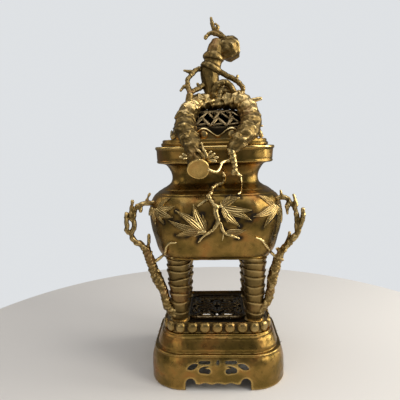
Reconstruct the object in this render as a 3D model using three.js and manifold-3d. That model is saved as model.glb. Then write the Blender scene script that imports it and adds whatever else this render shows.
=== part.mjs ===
// A bronze incense burner: a stand with a pierced apron, four ringed legs, a bulging vessel with two
// branch handles, and a lift-off lid with a pierced dome, a trunk-shaped arch and a bamboo finial.
// Millimetres, +Z up, with the front at -Y. Sizes are measured from the middle of the stand. The whole is
// then moved back, so that the origin lies on the table under the middle of its overall box.
import * as THREE from "three";
import { mergeVertices } from "three/addons/utils/BufferGeometryUtils.js";
import Module from "manifold-3d";

const wasm = await Module();
wasm.setup();

// Driving dimensions. A half is measured from the middle plane to the widest point, along X.
const standHalf = 90.5;
const standCorner = 46;
const standWall = 4;
const lowerTierTop = 44;
const upperTierTop = 64;
const bandSeat = 68;
const deckTop = 80;
const deckThick = 4;
const depthLess = 10.5; // how much less each half depth is than its half width
const footSpan = 2.5; // how far a foot reaches in from the flat part of its side
const footGapHeight = 10;
const scrollNotchHeight = 17;
const scrollNotchWidth = 13;
const apronRowDrops = [5.5, 11.5, 18]; // of the rows of holes below the lower tier's top
const apronCircleRadius = 2.6;

const bandInset = 17.5; // how far the petal band stands in from the widest point of the stand
const bandThick = 3.6;
const bandHeight = 15.2;
const petalCount = 30;

const panelInset = 10; // from the middle of a leg, along X
const panelCorner = 15;
const panelThick = 3;

const legInset = 23; // from the outside of the petal band to the middle of a leg, along X
const legDepthLess = 8; // how much nearer the middle plane a leg stands along Y than along X
const legFootRadius = 12.2;
const legTopRadius = 17.2;
const legStudRadius = 3.5;
const legSink = 6; // how far a leg's top reaches up past the vessel's underside
const nutAcross = 13;
const nutThick = 6;

const vesselBottom = 166.5;
const vesselHalf = 88;
const vesselCorner = 50;
const vesselWall = 4;
const bellyHeight = 61.5; // from the underside to the widest level
const neckHalf = 56.3;
const neckHeight = 104.5;
const collarHalf = 76.5;
const collarFoot = 124.5;
const vesselHeight = 145.5;
const mouthHalf = 63;

const lidPlateHalf = 70;
const lidPlateThick = 8.3;
const flangeDepth = 6.3;
const flangeThick = 3.5;
const lidHoleHalf = 51;
const domeHalf = 57;
const domeHeight = 39.4;
const domeWall = 3;
const borderThick = 2.2;
const borderHeight = 14;
const borderLobes = 10;
const borderShift = 0.12; // how far the waves sit to the right of the middle, as a share of one

const archRadius = 13.2;
const sawnEndRadius = 13.4;
const archStudRadius = 3;
const stumpRadius = 11.8;
const handleRadius = 6.8;
const twigRadius = 2.4;
const leafWidth = 10;
const vineLeafWidth = 7;
const leafThick = 1.7;
const vineRadius = 2.2;

const originForward = 10.5; // how far the origin lies in front of the middle of the stand
const seat = 0.3; // gap between two pieces that rest on each other or are brazed together
const reliefGap = 0.6; // gap between an applied relief and the wall behind it
const flangeClearance = 0.8;
const cornerSegments = 5;

// Places and levels that several pieces share.
const bandHalf = standHalf - bandInset;
const legX = bandHalf - legInset;
const legY = legX - legDepthLess;
const panelHalf = legX - panelInset;
const panelDeep = legY;
const vesselTop = vesselBottom + vesselHeight;
const plateBottom = vesselTop + seat;
const plateTop = plateBottom + lidPlateThick;
const domeBottom = plateTop + seat;
const crown = domeBottom + domeHeight;

// Materials.
function bronze(color, roughness) {
  return new THREE.MeshStandardMaterial({ color, roughness, metalness: 1 });
}
const castBronze = bronze(0x8d6d3a, 0.42);
const darkBronze = bronze(0x3d2f1e, 0.6);
const brightBronze = bronze(0xb08d4c, 0.32);
const ironGrey = bronze(0x77736b, 0.5);

// Turning three.js geometry into solids and back. Merging closes the seams, and the triangles that it
// flattens to a line, such as those on a lathe's axis, are left out.
function closedGeometry(geometry) {
  const bare = geometry.clone();
  bare.deleteAttribute("normal");
  bare.deleteAttribute("uv");
  const merged = mergeVertices(bare, 1e-4);
  const corners = merged.index.array;
  const triangles = [];
  for (let i = 0; i < corners.length; i += 3) {
    const [a, b, c] = corners.slice(i, i + 3);
    if (a !== b && b !== c && c !== a) {
      triangles.push(a, b, c);
    }
  }
  return merged.setIndex(triangles);
}

// A closed geometry as a solid, moved by an offset after its seams are closed.
function solidFrom(geometry, offset = [0, 0, 0]) {
  const closed = closedGeometry(geometry).translate(...offset);
  return new wasm.Manifold(
    new wasm.Mesh({
      numProp: 3,
      vertProperties: Float32Array.from(closed.attributes.position.array),
      triVerts: Uint32Array.from(closed.index.array),
    }),
  );
}

function geometryFrom(solid) {
  const mesh = solid.getMesh();
  const geometry = new THREE.BufferGeometry();
  geometry.setAttribute("position", new THREE.BufferAttribute(mesh.vertProperties, 3));
  geometry.setIndex(new THREE.BufferAttribute(mesh.triVerts, 1));
  geometry.computeVertexNormals();
  return geometry;
}

function joined(solids) {
  return solids.reduce((whole, next) => whole.add(next));
}

function cutBy(solid, cutters) {
  return cutters.reduce((rest, cutter) => rest.subtract(cutter), solid);
}

// The largest single body of a solid, for a cut that may leave slivers behind.
function mainBody(solid) {
  return solid.decompose().reduce((best, next) => (next.volume() > best.volume() ? next : best));
}

function addPiece(group, name, solid, material) {
  const mesh = new THREE.Mesh(geometryFrom(solid), material);
  mesh.name = name;
  group.add(mesh);
  return mesh;
}

// A closed surface through loops of points, all of the same count and running the same way round.
function loftSolid(loops, closed = false) {
  const count = loops[0].length;
  const positions = loops.flat().flatMap((p) => [p.x, p.y, p.z]);
  const index = [];
  const bands = closed ? loops.length : loops.length - 1;
  for (let i = 0; i < bands; i++) {
    const here = i * count;
    const there = ((i + 1) % loops.length) * count;
    for (let j = 0; j < count; j++) {
      const k = (j + 1) % count;
      index.push(here + j, here + k, there + k, here + j, there + k, there + j);
    }
  }
  if (!closed) {
    const last = (loops.length - 1) * count;
    const middle = (loop) => loop.reduce((sum, p) => sum.add(p), new THREE.Vector3()).divideScalar(count);
    const first = middle(loops[0]);
    const final = middle(loops[loops.length - 1]);
    const centre = positions.length / 3;
    positions.push(first.x, first.y, first.z, final.x, final.y, final.z);
    for (let j = 0; j < count; j++) {
      const k = (j + 1) % count;
      index.push(centre, k, j, centre + 1, last + j, last + k);
    }
  }
  const geometry = new THREE.BufferGeometry();
  geometry.setAttribute("position", new THREE.Float32BufferAttribute(positions, 3));
  geometry.setIndex(index);
  return solidFrom(geometry);
}

// A rounded-rectangle ring: half width x, half depth y, corner radius r, at level z.
function plan(half, z, widest, corner) {
  const r = Math.max(corner - (widest - half), 1);
  return { x: half, y: half - depthLess, r, z };
}

// The place and outward direction on a ring. along runs from the front's middle, anticlockwise seen from
// above, with one unit for a half front, a corner, a side, a corner and a half rear: 10 units go once round.
function onRing(ring, along) {
  const turn = ((along % 10) + 10) % 10;
  const mirrored = turn > 5;
  const t = mirrored ? 10 - turn : turn;
  const flatX = ring.x - ring.r;
  const flatY = ring.y - ring.r;
  let centre = [flatX * t, -flatY];
  let angle = 0;
  if (t > 4) {
    centre = [flatX * (5 - t), flatY];
    angle = Math.PI;
  } else if (t > 3) {
    centre = [flatX, flatY];
    angle = ((t - 2) * Math.PI) / 2;
  } else if (t > 2) {
    centre = [flatX, flatY * (2 * t - 5)];
    angle = Math.PI / 2;
  } else if (t > 1) {
    centre = [flatX, -flatY];
    angle = ((t - 1) * Math.PI) / 2;
  }
  const side = mirrored ? -1 : 1;
  const out = new THREE.Vector3(side * Math.sin(angle), -Math.cos(angle), 0);
  const place = new THREE.Vector3(side * centre[0], centre[1], ring.z).addScaledVector(out, ring.r);
  return { place, out };
}

// The lengths of a ring's five stretches, from the front's middle to the rear's.
function stretches(ring) {
  const arc = (ring.r * Math.PI) / 2;
  return [ring.x - ring.r, arc, 2 * (ring.y - ring.r), arc, ring.x - ring.r];
}

function girth(ring) {
  return 2 * stretches(ring).reduce((sum, next) => sum + next);
}

// The place along a ring, in onRing's units, at a signed distance in mm from the front's middle.
function alongAt(ring, distance) {
  const lengths = stretches(ring);
  let rest = Math.abs(distance);
  if (rest > girth(ring) / 2) {
    return alongAt(ring, distance - Math.sign(distance) * girth(ring));
  }
  let along = 0;
  for (const length of lengths) {
    if (rest <= length) {
      along += rest / length;
      break;
    }
    rest -= length;
    along += 1;
  }
  return Math.sign(distance) * along;
}

// The corner points of a ring: the middle of each side, and an arc at each corner.
function ringLoop(ring) {
  const flatX = ring.x - ring.r;
  const flatY = ring.y - ring.r;
  const points = [];
  const middles = [[0, -ring.y], [ring.x, 0], [0, ring.y], [-ring.x, 0]];
  const centres = [[flatX, -flatY], [flatX, flatY], [-flatX, flatY], [-flatX, -flatY]];
  for (let side = 0; side < 4; side++) {
    points.push(new THREE.Vector3(middles[side][0], middles[side][1], ring.z));
    for (let i = 0; i <= cornerSegments; i++) {
      const angle = ((side - 1 + i / cornerSegments) * Math.PI) / 2;
      const x = centres[side][0] + ring.r * Math.cos(angle);
      const y = centres[side][1] + ring.r * Math.sin(angle);
      points.push(new THREE.Vector3(x, y, ring.z));
    }
  }
  return points;
}

function ringSolid(rings, closed = false) {
  return loftSolid(rings.map(ringLoop), closed);
}

// A profile of [half, z] pairs moved outwards along its own normal, so that a cutter keeps an even gap.
function grownProfile(profile, gap) {
  return profile.map((point, i) => {
    const before = profile[Math.max(i - 1, 0)];
    const after = profile[Math.min(i + 1, profile.length - 1)];
    const dh = after[0] - before[0];
    const dz = after[1] - before[1];
    const length = Math.hypot(dh, dz);
    return [point[0] + (gap * dz) / length, point[1] - (gap * dh) / length];
  });
}

// A tapered tube through points of [x, y, z, radius], with flat ends. grow makes it larger all over.
function tubeSolid(points, sides = 8, steps = 2, grow = 0) {
  const curve = new THREE.CatmullRomCurve3(points.map((p) => new THREE.Vector3(p[0], p[1], p[2])));
  const spans = (points.length - 1) * steps;
  const loops = [];
  let normal = new THREE.Vector3(0.31, 0.27, 0.91);
  for (let i = 0; i <= spans; i++) {
    const t = i / spans;
    const tangent = curve.getTangent(t);
    const centre = curve.getPoint(t);
    if (i === 0 || i === spans) {
      centre.addScaledVector(tangent, i === 0 ? -grow : grow);
    }
    normal = normal.clone().addScaledVector(tangent, -normal.dot(tangent)).normalize();
    const other = new THREE.Vector3().crossVectors(tangent, normal);
    const at = t * (points.length - 1);
    const k = Math.min(Math.floor(at), points.length - 2);
    const radius = THREE.MathUtils.lerp(points[k][3], points[k + 1][3], at - k) + grow;
    const loop = [];
    for (let j = 0; j < sides; j++) {
      const angle = (2 * Math.PI * j) / sides;
      const point = centre.clone();
      point.addScaledVector(normal, radius * Math.cos(angle));
      point.addScaledVector(other, radius * Math.sin(angle));
      loop.push(point);
    }
    loops.push(loop);
  }
  return loftSolid(loops);
}

// A flat shape in X and Z, pushed through the object along Y, or along X after a quarter turn.
function throughCut(shape, length, turn = 0) {
  const options = { depth: length, bevelEnabled: false, curveSegments: 2 };
  const geometry = new THREE.ExtrudeGeometry(shape, options);
  geometry.translate(0, 0, -length / 2);
  geometry.rotateX(Math.PI / 2);
  geometry.rotateZ(turn);
  return solidFrom(geometry);
}

// A slot with round ends, and its middle at x, y.
function slotShape(x, y, halfLength, halfHeight) {
  const shape = new THREE.Shape();
  const straight = halfLength - halfHeight;
  shape.absarc(x + straight, y, halfHeight, -Math.PI / 2, Math.PI / 2, false);
  shape.absarc(x - straight, y, halfHeight, Math.PI / 2, (3 * Math.PI) / 2, false);
  shape.closePath();
  return shape;
}

// A leaf outline with two points, along X, with its middle at x, y.
function lensShape(x, y, halfLength, halfHeight) {
  const shape = new THREE.Shape();
  shape.moveTo(x - halfLength, y);
  shape.quadraticCurveTo(x, y + 2 * halfHeight, x + halfLength, y);
  shape.quadraticCurveTo(x, y - 2 * halfHeight, x - halfLength, y);
  return shape;
}

// The stand: two convex tiers, a neck for the petal band and a closed deck, open underneath.
const standOuter = [
  [standHalf - 1.5, 0],
  [standHalf - 0.3, 8],
  [standHalf, 17],
  [standHalf - 1.6, 32],
  [standHalf - 5, lowerTierTop],
  [standHalf - 10, lowerTierTop + 1.5],
  [standHalf - 10.4, lowerTierTop + 7],
  [standHalf - 12, lowerTierTop + 13],
  [standHalf - 15.4, upperTierTop],
  [standHalf - 17.6, bandSeat],
];
const neckOfStand = bandHalf - bandThick - seat;

function standShell() {
  const outer = [...standOuter, [neckOfStand, bandSeat], [neckOfStand, deckTop]];
  const inner = [
    [neckOfStand - standWall, deckTop - deckThick],
    [neckOfStand - standWall, bandSeat - 3],
    [standHalf - 16 - standWall, upperTierTop - 7],
    [standHalf - 10.4 - standWall, lowerTierTop + 1.5],
    [standHalf - 5.5 - standWall, lowerTierTop - 3],
    [standHalf - 1.6 - standWall, 28],
    [standHalf - standWall, 15],
    [standHalf - 1.5 - standWall, 0],
  ];
  const rings = [...inner, ...outer].map(([half, z]) => plan(half, z, standHalf, standCorner));
  const panelHole = ringSolid([
    { ...panelRing(-seat - 3, 0), z: deckTop - 2 * deckThick },
    { ...panelRing(-seat - 3, 0), z: deckTop + deckThick },
  ]);
  const studHoles = legPlaces().map(([x, y]) => {
    const hole = new THREE.CylinderGeometry(legStudRadius + seat, legStudRadius + seat, 4 * deckThick, 12);
    hole.rotateX(Math.PI / 2);
    return solidFrom(hole, [x, y, deckTop - deckThick]);
  });
  return cutBy(ringSolid(rings), [panelHole, ...studHoles, ...apronCuts()]);
}

// The holes in the front and back aprons, and the same pattern drawn narrower, without its ovals, in the
// two sides.
function apronCuts() {
  const frontFlat = standHalf - standCorner;
  const sideFlat = frontFlat - depthLess;
  const front = apronPattern(frontFlat, true).map((shape) => throughCut(shape, 3 * standHalf));
  const sides = apronPattern(sideFlat, false).map((shape) => throughCut(shape, 3 * standHalf, Math.PI / 2));
  return [...front, ...sides];
}

function apronPattern(flatHalf, withOvals) {
  const slotX = 0.38 * flatHalf;
  const ovalX = 0.75 * flatHalf;
  const slotLong = 0.19 * flatHalf;
  const [high, middle, low] = apronRowDrops.map((drop) => lowerTierTop - drop);
  const circle = new THREE.Shape();
  circle.absarc(0, high, apronCircleRadius, 0, 2 * Math.PI, false);
  const shapes = [circle, footGap(flatHalf - footSpan)];
  [-1, 1].forEach((side) => {
    shapes.push(slotShape(side * slotX, high, slotLong, 1.8));
    shapes.push(slotShape(side * slotX, low, slotLong, 3.2));
    if (withOvals) {
      shapes.push(slotShape(side * ovalX, middle, 0.8 * slotLong, 2.2));
    }
  });
  return shapes;
}

// The opening between two feet, with a cloud-shaped notch at each end.
function footGap(half) {
  const shape = new THREE.Shape();
  const floor = -5;
  const middle = scrollNotchWidth / 2;
  const inside = half - scrollNotchWidth;
  shape.moveTo(-half, floor);
  shape.lineTo(-half, footGapHeight - 4);
  shape.quadraticCurveTo(-half + 1, scrollNotchHeight, -half + middle, scrollNotchHeight);
  shape.quadraticCurveTo(-inside, scrollNotchHeight, -inside, footGapHeight);
  shape.lineTo(inside, footGapHeight);
  shape.quadraticCurveTo(inside, scrollNotchHeight, half - middle, scrollNotchHeight);
  shape.quadraticCurveTo(half - 1, scrollNotchHeight, half, footGapHeight - 4);
  shape.lineTo(half, floor);
  shape.closePath();
  return shape;
}

// The band of convex petals that stands on the shoulder of the stand.
function petalBand() {
  const stepsPerPetal = 3;
  const count = petalCount * stepsPerPetal;
  const widest = bandHalf;
  const corner = standCorner - (standHalf - bandHalf);
  const bottom = bandSeat + seat;
  const levels = [
    { half: bandHalf - 1.2, z: bottom, bulge: 0.4, drop: 0 },
    { half: bandHalf, z: bottom + 0.7 * bandHeight, bulge: 1.2, drop: 1.5 },
    { half: bandHalf - 0.8, z: bottom + bandHeight, bulge: 0.6, drop: 3 },
    { half: bandHalf - bandThick, z: bottom + bandHeight, bulge: 0, drop: 3 },
    { half: bandHalf - bandThick, z: bottom, bulge: 0, drop: 0 },
  ];
  const loops = levels.map(({ half, z, bulge, drop }) => {
    const ring = plan(half, z, widest, corner);
    const loop = [];
    for (let i = 0; i < count; i++) {
      const arch = Math.sin((Math.PI * (i % stepsPerPetal)) / stepsPerPetal);
      const at = onRing(ring, alongAt(ring, (girth(ring) * i) / count));
      const point = at.place.clone().addScaledVector(at.out, bulge * (arch - 1));
      point.z -= drop * (1 - arch);
      loop.push(point);
    }
    return loop;
  });
  return loftSolid(loops, true);
}

// The pierced panel that lies in the deck.
function panelRing(grow, z) {
  return { x: panelHalf + grow, y: panelDeep + grow, r: panelCorner + grow, z };
}

function standPanel() {
  const bottom = deckTop + seat;
  const frame = ringSolid([
    panelRing(0, bottom),
    panelRing(0, bottom + panelThick),
    panelRing(-1.5, bottom + panelThick + 1),
    panelRing(-4, bottom + panelThick + 1),
    panelRing(-5, bottom + panelThick - 1),
  ]);
  const cuts = [];
  const rows = [
    { radius: 0.25 * panelHalf, count: 4, long: 6, high: 2.3 },
    { radius: 0.51 * panelHalf, count: 8, long: 6.4, high: 2.6 },
    { radius: 0.78 * panelHalf, count: 12, long: 6, high: 2.2 },
  ];
  rows.forEach(({ radius, count, long, high }) => {
    for (let i = 0; i < count; i++) {
      const geometry = new THREE.ExtrudeGeometry(lensShape(0, 0, long, high), {
        depth: 6 * panelThick,
        bevelEnabled: false,
        curveSegments: 2,
      });
      geometry.rotateZ(0.6);
      geometry.translate(radius, 0, bottom - 2 * panelThick);
      geometry.rotateZ((2 * Math.PI * i) / count);
      cuts.push(solidFrom(geometry));
    }
  });
  return cutBy(frame, cuts);
}

// A leg: a ringed root that swells upwards, with a stud through the deck.
function legPlaces() {
  return [[-legX, -legY], [legX, -legY], [-legX, legY], [legX, legY]];
}

const legNames = ["front_left", "front_right", "rear_left", "rear_right"];
const nutBottom = deckTop - deckThick - seat - nutThick;
const studBottom = nutBottom - 2;

function legRadiusAt(share) {
  return THREE.MathUtils.lerp(legFootRadius, legTopRadius, share ** 1.3);
}

function legProfile(grow) {
  const foot = deckTop + seat;
  const top = vesselBottom + legSink;
  const rings = [0.02, 0.16, 0.3, 0.43, 0.55, 0.66, 0.77, 0.87, 0.96];
  const points = [
    [0, studBottom - grow],
    [legStudRadius + grow, studBottom - grow],
    [legStudRadius + grow, foot - grow],
    [legFootRadius - 1.2 + grow, foot - grow],
  ];
  rings.forEach((share) => {
    const z = foot + share * (top - foot);
    const radius = legRadiusAt(share) + grow;
    points.push([radius - 0.9, z - 1.4]);
    points.push([radius + 0.5, z + 0.6]);
  });
  points.push([legTopRadius - 0.8 + grow, top + grow]);
  points.push([0, top + grow]);
  return points.map(([r, z]) => new THREE.Vector2(r, z));
}

function legGeometry(grow) {
  const geometry = new THREE.LatheGeometry(legProfile(grow), 9);
  geometry.rotateX(Math.PI / 2);
  return geometry;
}

// A hexagon nut that stands on z = 0.
function hexNut(across, thick, boreRadius) {
  const corner = across / Math.sqrt(3);
  const corners = [0, 1, 2, 3, 4, 5].map((i) => {
    const angle = (i * Math.PI) / 3;
    return new THREE.Vector2(corner * Math.cos(angle), corner * Math.sin(angle));
  });
  const shape = new THREE.Shape(corners);
  const hole = new THREE.Path();
  hole.absarc(0, 0, boreRadius, 0, 2 * Math.PI, true);
  shape.holes.push(hole);
  return new THREE.ExtrudeGeometry(shape, { depth: thick, bevelEnabled: false, curveSegments: 6 });
}

// The vessel: a bulging body, a drawn-in neck and an upright collar.
const belly = vesselBottom + bellyHeight;
const neck = vesselBottom + neckHeight;
const collar = vesselBottom + collarFoot;
const vesselOuter = [
  [vesselHalf - 21, vesselBottom],
  [vesselHalf - 16, vesselBottom + 1.2],
  [vesselHalf - 12.5, vesselBottom + 5.5],
  [vesselHalf - 9.3, vesselBottom + 12.5],
  [vesselHalf - 6, belly - 37],
  [vesselHalf - 1, belly - 15],
  [vesselHalf, belly],
  [vesselHalf - 2.5, belly + 11],
  [vesselHalf - 8, belly + 22],
  [vesselHalf - 16, belly + 26.5],
  [(vesselHalf + neckHalf) / 2 - 9.6, neck - 10],
  [neckHalf + 1.2, neck - 5],
  [neckHalf, neck],
  [neckHalf + 1.2, neck + 6],
  [neckHalf + 8, collar - 2],
  [collarHalf - 2, collar],
  [collarHalf - 0.6, collar + 2],
  [collarHalf, vesselTop - 4],
  [collarHalf + 1.5, vesselTop - 2.5],
  [collarHalf + 1.5, vesselTop],
];

function vesselRing(half, z) {
  return plan(half, z, vesselHalf, vesselCorner);
}

function vesselBowl() {
  const inner = [
    [mouthHalf, vesselTop],
    [mouthHalf, vesselTop - flangeDepth - 2],
    [neckHalf - vesselWall + 1, collar - 4],
    [neckHalf - vesselWall, neck],
    [neckHalf - vesselWall + 2, neck - 6],
    [vesselHalf - 17 - vesselWall, belly + 24],
    [vesselHalf - 9 - vesselWall, belly + 19],
    [vesselHalf - 3 - vesselWall, belly + 10],
    [vesselHalf - vesselWall, belly],
    [vesselHalf - 1 - vesselWall, belly - 15],
    [vesselHalf - 6.5 - vesselWall, belly - 36],
    [vesselHalf - 11 - vesselWall, vesselBottom + 12],
    [vesselHalf - 20 - vesselWall, vesselBottom + vesselWall + 0.5],
  ];
  return ringSolid([...vesselOuter, ...inner].map(([half, z]) => vesselRing(half, z)));
}

// The vessel without its hollow, grown by a gap, to cut what rests against it.
function vesselBlock(gap) {
  const profile = grownProfile(vesselOuter, gap);
  profile[0][1] -= gap;
  profile[profile.length - 1][1] += gap;
  return ringSolid(profile.map(([half, z]) => vesselRing(half, z)));
}

// A point on the vessel's outside, lifted off it. u is the distance in mm from the front's middle,
// measured round the belly, and up is the height over the underside.
function onVessel(u, up, lift) {
  const z = vesselBottom + up;
  const next = vesselOuter.findIndex((point) => point[1] > z);
  const [halfLow, zLow] = vesselOuter[next - 1];
  const [halfHigh, zHigh] = vesselOuter[next];
  const half = THREE.MathUtils.mapLinear(z, zLow, zHigh, halfLow, halfHigh);
  const along = alongAt(vesselRing(vesselHalf, belly), u);
  const at = onRing(vesselRing(half, z), along);
  const slope = (halfHigh - halfLow) / (zHigh - zLow);
  const level = 1 / Math.hypot(1, slope);
  const normal = at.out.multiplyScalar(level);
  normal.z = -slope * level;
  return at.place.addScaledVector(normal, lift);
}

// A bamboo leaf that lies on the vessel, from its stalk to its tip, both [u, up], with a raised rib.
function leafSolid(stalk, tip, width) {
  const along = new THREE.Vector2(tip[0] - stalk[0], tip[1] - stalk[1]);
  const across = new THREE.Vector2(along.y, -along.x).normalize();
  const stations = [[0, 0.35], [0.17, 0.75], [0.34, 1], [0.54, 0.93], [0.76, 0.66], [1, 0.08]];
  const loops = stations.map(([share, wide]) => {
    const u = stalk[0] + share * along.x;
    const up = stalk[1] + share * along.y;
    const reach = (wide * width) / 2;
    const edgeLift = reliefGap + 0.5;
    const ribLift = reliefGap + 0.6 + wide * (leafThick - 0.6);
    return [
      onVessel(u, up, ribLift),
      onVessel(u + reach * across.x, up + reach * across.y, edgeLift),
      onVessel(u, up, reliefGap),
      onVessel(u - reach * across.x, up - reach * across.y, edgeLift),
    ];
  });
  return loftSolid(loops);
}

// A stem or vine that creeps over the vessel through [u, up] points.
function creeper(places, radius, tipRadius, sides = 5, steps = 1, grow = 0) {
  const points = places.map(([u, up], i) => {
    const r = THREE.MathUtils.lerp(radius, tipRadius, i / (places.length - 1));
    const p = onVessel(u, up, r + reliefGap);
    return [p.x, p.y, p.z, r];
  });
  return tubeSolid(points, sides, steps, grow);
}

// Leaf sprays. Heights are over the underside, and distances run round the belly from the front's middle.
function spraySolid({ stems, leaves }) {
  const stemSolids = stems.map((places) => creeper(places, 1.4, 1.2));
  const leafSolids = leaves.map(([stalk, tip, width = leafWidth]) => leafSolid(stalk, tip, width));
  return joined([...stemSolids, ...leafSolids]);
}

const frontRightSpray = {
  stems: [
    [[3, 72], [8, 71], [12, 67], [15, 63]],
  ],
  leaves: [
    [[6, 73.5], [19, 84], 7],
    [[7, 72.5], [30, 81.5]],
    [[8, 70.5], [44, 66.8]],
    [[11, 67.5], [43, 54.8]],
    [[9, 68.5], [29, 47.5]],
    [[8, 69], [15, 51], 7],
  ],
};
const frontLeftSpray = {
  stems: [
    [[-12.5, 41], [-17, 41.5], [-22, 40]],
  ],
  leaves: [
    [[-13.5, 41.5], [-16, 62], 6.5],
    [[-14, 41.5], [-27, 74.5], 11.5],
    [[-16, 42], [-49, 67.5]],
    [[-20, 41.5], [-58, 55.3]],
    [[-21, 40.5], [-50, 35.8]],
  ],
};
const cornerLeftSpray = {
  stems: [
    [[-91, 68], [-84, 66.5], [-76, 68]],
  ],
  leaves: [
    [[-77, 68], [-50, 72.5]],
    [[-76, 68.5], [-60, 81.5], 6],
    [[-79, 67.5], [-52.5, 59.2]],
    [[-83, 67], [-66, 50]],
    [[-86, 67], [-82, 47]],
    [[-90, 68], [-106, 56]],
  ],
};
const cornerRightSpray = {
  stems: [
    [[92, 70], [86, 68.5], [77, 70]],
  ],
  leaves: [
    [[77, 70.5], [56, 83], 8],
    [[79, 70], [46, 59]],
    [[83, 69], [60, 45]],
    [[87, 69], [84.5, 27]],
    [[91, 70], [103, 44]],
  ],
};

// The vine down the middle of the front, from below the collar to its two root tails.
function frontVine(grow = 0) {
  const drop = [[10, -13, -33, 1.5], [12, -6, -41, 1.9], [9, -3.2, -47, 2.1]];
  const start = drop.map(([x, forward, down, r]) => [
    x,
    -(neckHalf - depthLess) + forward - 4,
    vesselTop + down,
    r,
  ]);
  const onWall = [
    [2, 94.5, 2.2],
    [-4, 90.5, 2.3],
    [-6, 85.5, 2.4],
    [-8, 82.5, 2.9],
    [-5, 77.5, 2.2],
    [-2, 73.5, 2.6],
    [1, 71.5, 2.9],
    [0, 66.5, 3],
    [2, 59.5, 2.6],
    [3, 54.5, 2.4],
    [0, 48.5, 2],
    [-4, 43.5, 1.8],
    [-11, 38.5, 1.5],
    [-17, 33.5, 1.2],
    [-22, 27, 0.9],
  ];
  const wall = onWall.map(([u, up, r]) => {
    const p = onVessel(u, up, r + reliefGap);
    return [p.x, p.y, p.z, r];
  });
  const tail = [[3, 55], [6, 51], [8, 44.5], [12, 38.5], [20, 35.5], [29, 31.5]];
  const rightTail = creeper(tail, vineRadius, 1, 5, 1, grow);
  const leaf = leafSolid([12, 39.5], [37, 42.5], vineLeafWidth);
  return joined([tubeSolid([...start, ...wall], 6, 1, grow), rightTail, leaf]);
}

function sideStrand() {
  return creeper([[33, 105], [33.5, 99], [33, 92], [31, 87], [28, 85]], 1.3, 1, 6, 2);
}

// A place on a handle. side is -1 or 1, out is measured from the belly's widest point, forward from the
// leg's middle, and up from the vessel's underside.
function byVessel(side, out, forward, up, radius) {
  return [side * (vesselHalf + out), -(legY + forward), vesselBottom + up, radius];
}

// The same from the foot of the front leg.
function byLeg(side, out, forward, up, radius) {
  return [side * (legX + out), -(legY + forward), deckTop + up, radius];
}

// Where a thin root leaves each trunk.
function rootFork(side, radius) {
  return side < 0 ? byVessel(side, -3, 7, -7.5, radius) : byVessel(side, -8, 8, -1.5, radius);
}

function handleLeft(grow = 0) {
  const trunk = [
    byLeg(-1, 6, 4, 10, handleRadius),
    byLeg(-1, 16, 5, 22, handleRadius),
    byLeg(-1, 19, 5, 36, handleRadius - 0.4),
    byLeg(-1, 23, 5, 48, handleRadius),
    byLeg(-1, 28, 5, 58, handleRadius + 1),
    byLeg(-1, 32, 6, 69, handleRadius + 0.4),
    rootFork(-1, 6.7),
    byVessel(-1, 0, 9, 4.5, 6.6),
    byVessel(-1, 5, 11, 15.5, 4.8),
    byVessel(-1, 11, 13, 24, 3.8),
  ];
  const branch = [
    byVessel(-1, 9, 12.5, 21, 3.6),
    byVessel(-1, 15, 15, 24.5, 3.3),
    byVessel(-1, 19, 15, 29.5, 3.3),
    byVessel(-1, 20, 15, 37.5, 3.3),
    byVessel(-1, 16.5, 15, 44.5, 3.1),
    byVessel(-1, 17, 15, 53.5, 3),
    byVessel(-1, 17, 15, 59.5, 3.3),
    byVessel(-1, 14, 13, 68.5, 3),
    byVessel(-1, 8, 11, 72.5, 2.9),
    byVessel(-1, 2, 9, 74, 2.8),
    byVessel(-1, -6, 6, 74, 2.8),
    byVessel(-1, -16, 2, 72, 2.8),
  ];
  const twigs = [
    [byVessel(-1, 20, 15, 37, 2.2), byVessel(-1, 26, 17, 38, 2.4), byVessel(-1, 27, 18, 46, 2.8),
      byVessel(-1, 27, 19, 54.5, twigRadius), byVessel(-1, 26, 19, 63.5, 1.6)],
    [byVessel(-1, 17, 15, 51, twigRadius), byVessel(-1, 20, 17, 58, 2.2), byVessel(-1, 19, 17, 66, 2.2),
      byVessel(-1, 17, 17, 78.5, 1.7)],
    [byVessel(-1, 1, 9, 73, 1.9), byVessel(-1, -1, 7, 80, 1.7), byVessel(-1, -4, 7, 86.5, 1.4)],
    [byVessel(-1, 7, 11, 72, 2), byVessel(-1, 8, 12, 67, 2.5), byVessel(-1, 8, 12, 63, 1.6)],
    [byVessel(-1, 2, 10, 9, 2.8), byVessel(-1, 0, 8, 20, twigRadius), byVessel(-1, -1, 8, 33, 1.8)],
  ];
  return joined([
    tubeSolid(trunk, 8, 2, grow),
    tubeSolid(branch, 6, 2, grow),
    ...twigs.map((twig) => tubeSolid(twig, 5, 1, grow)),
  ]);
}

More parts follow.
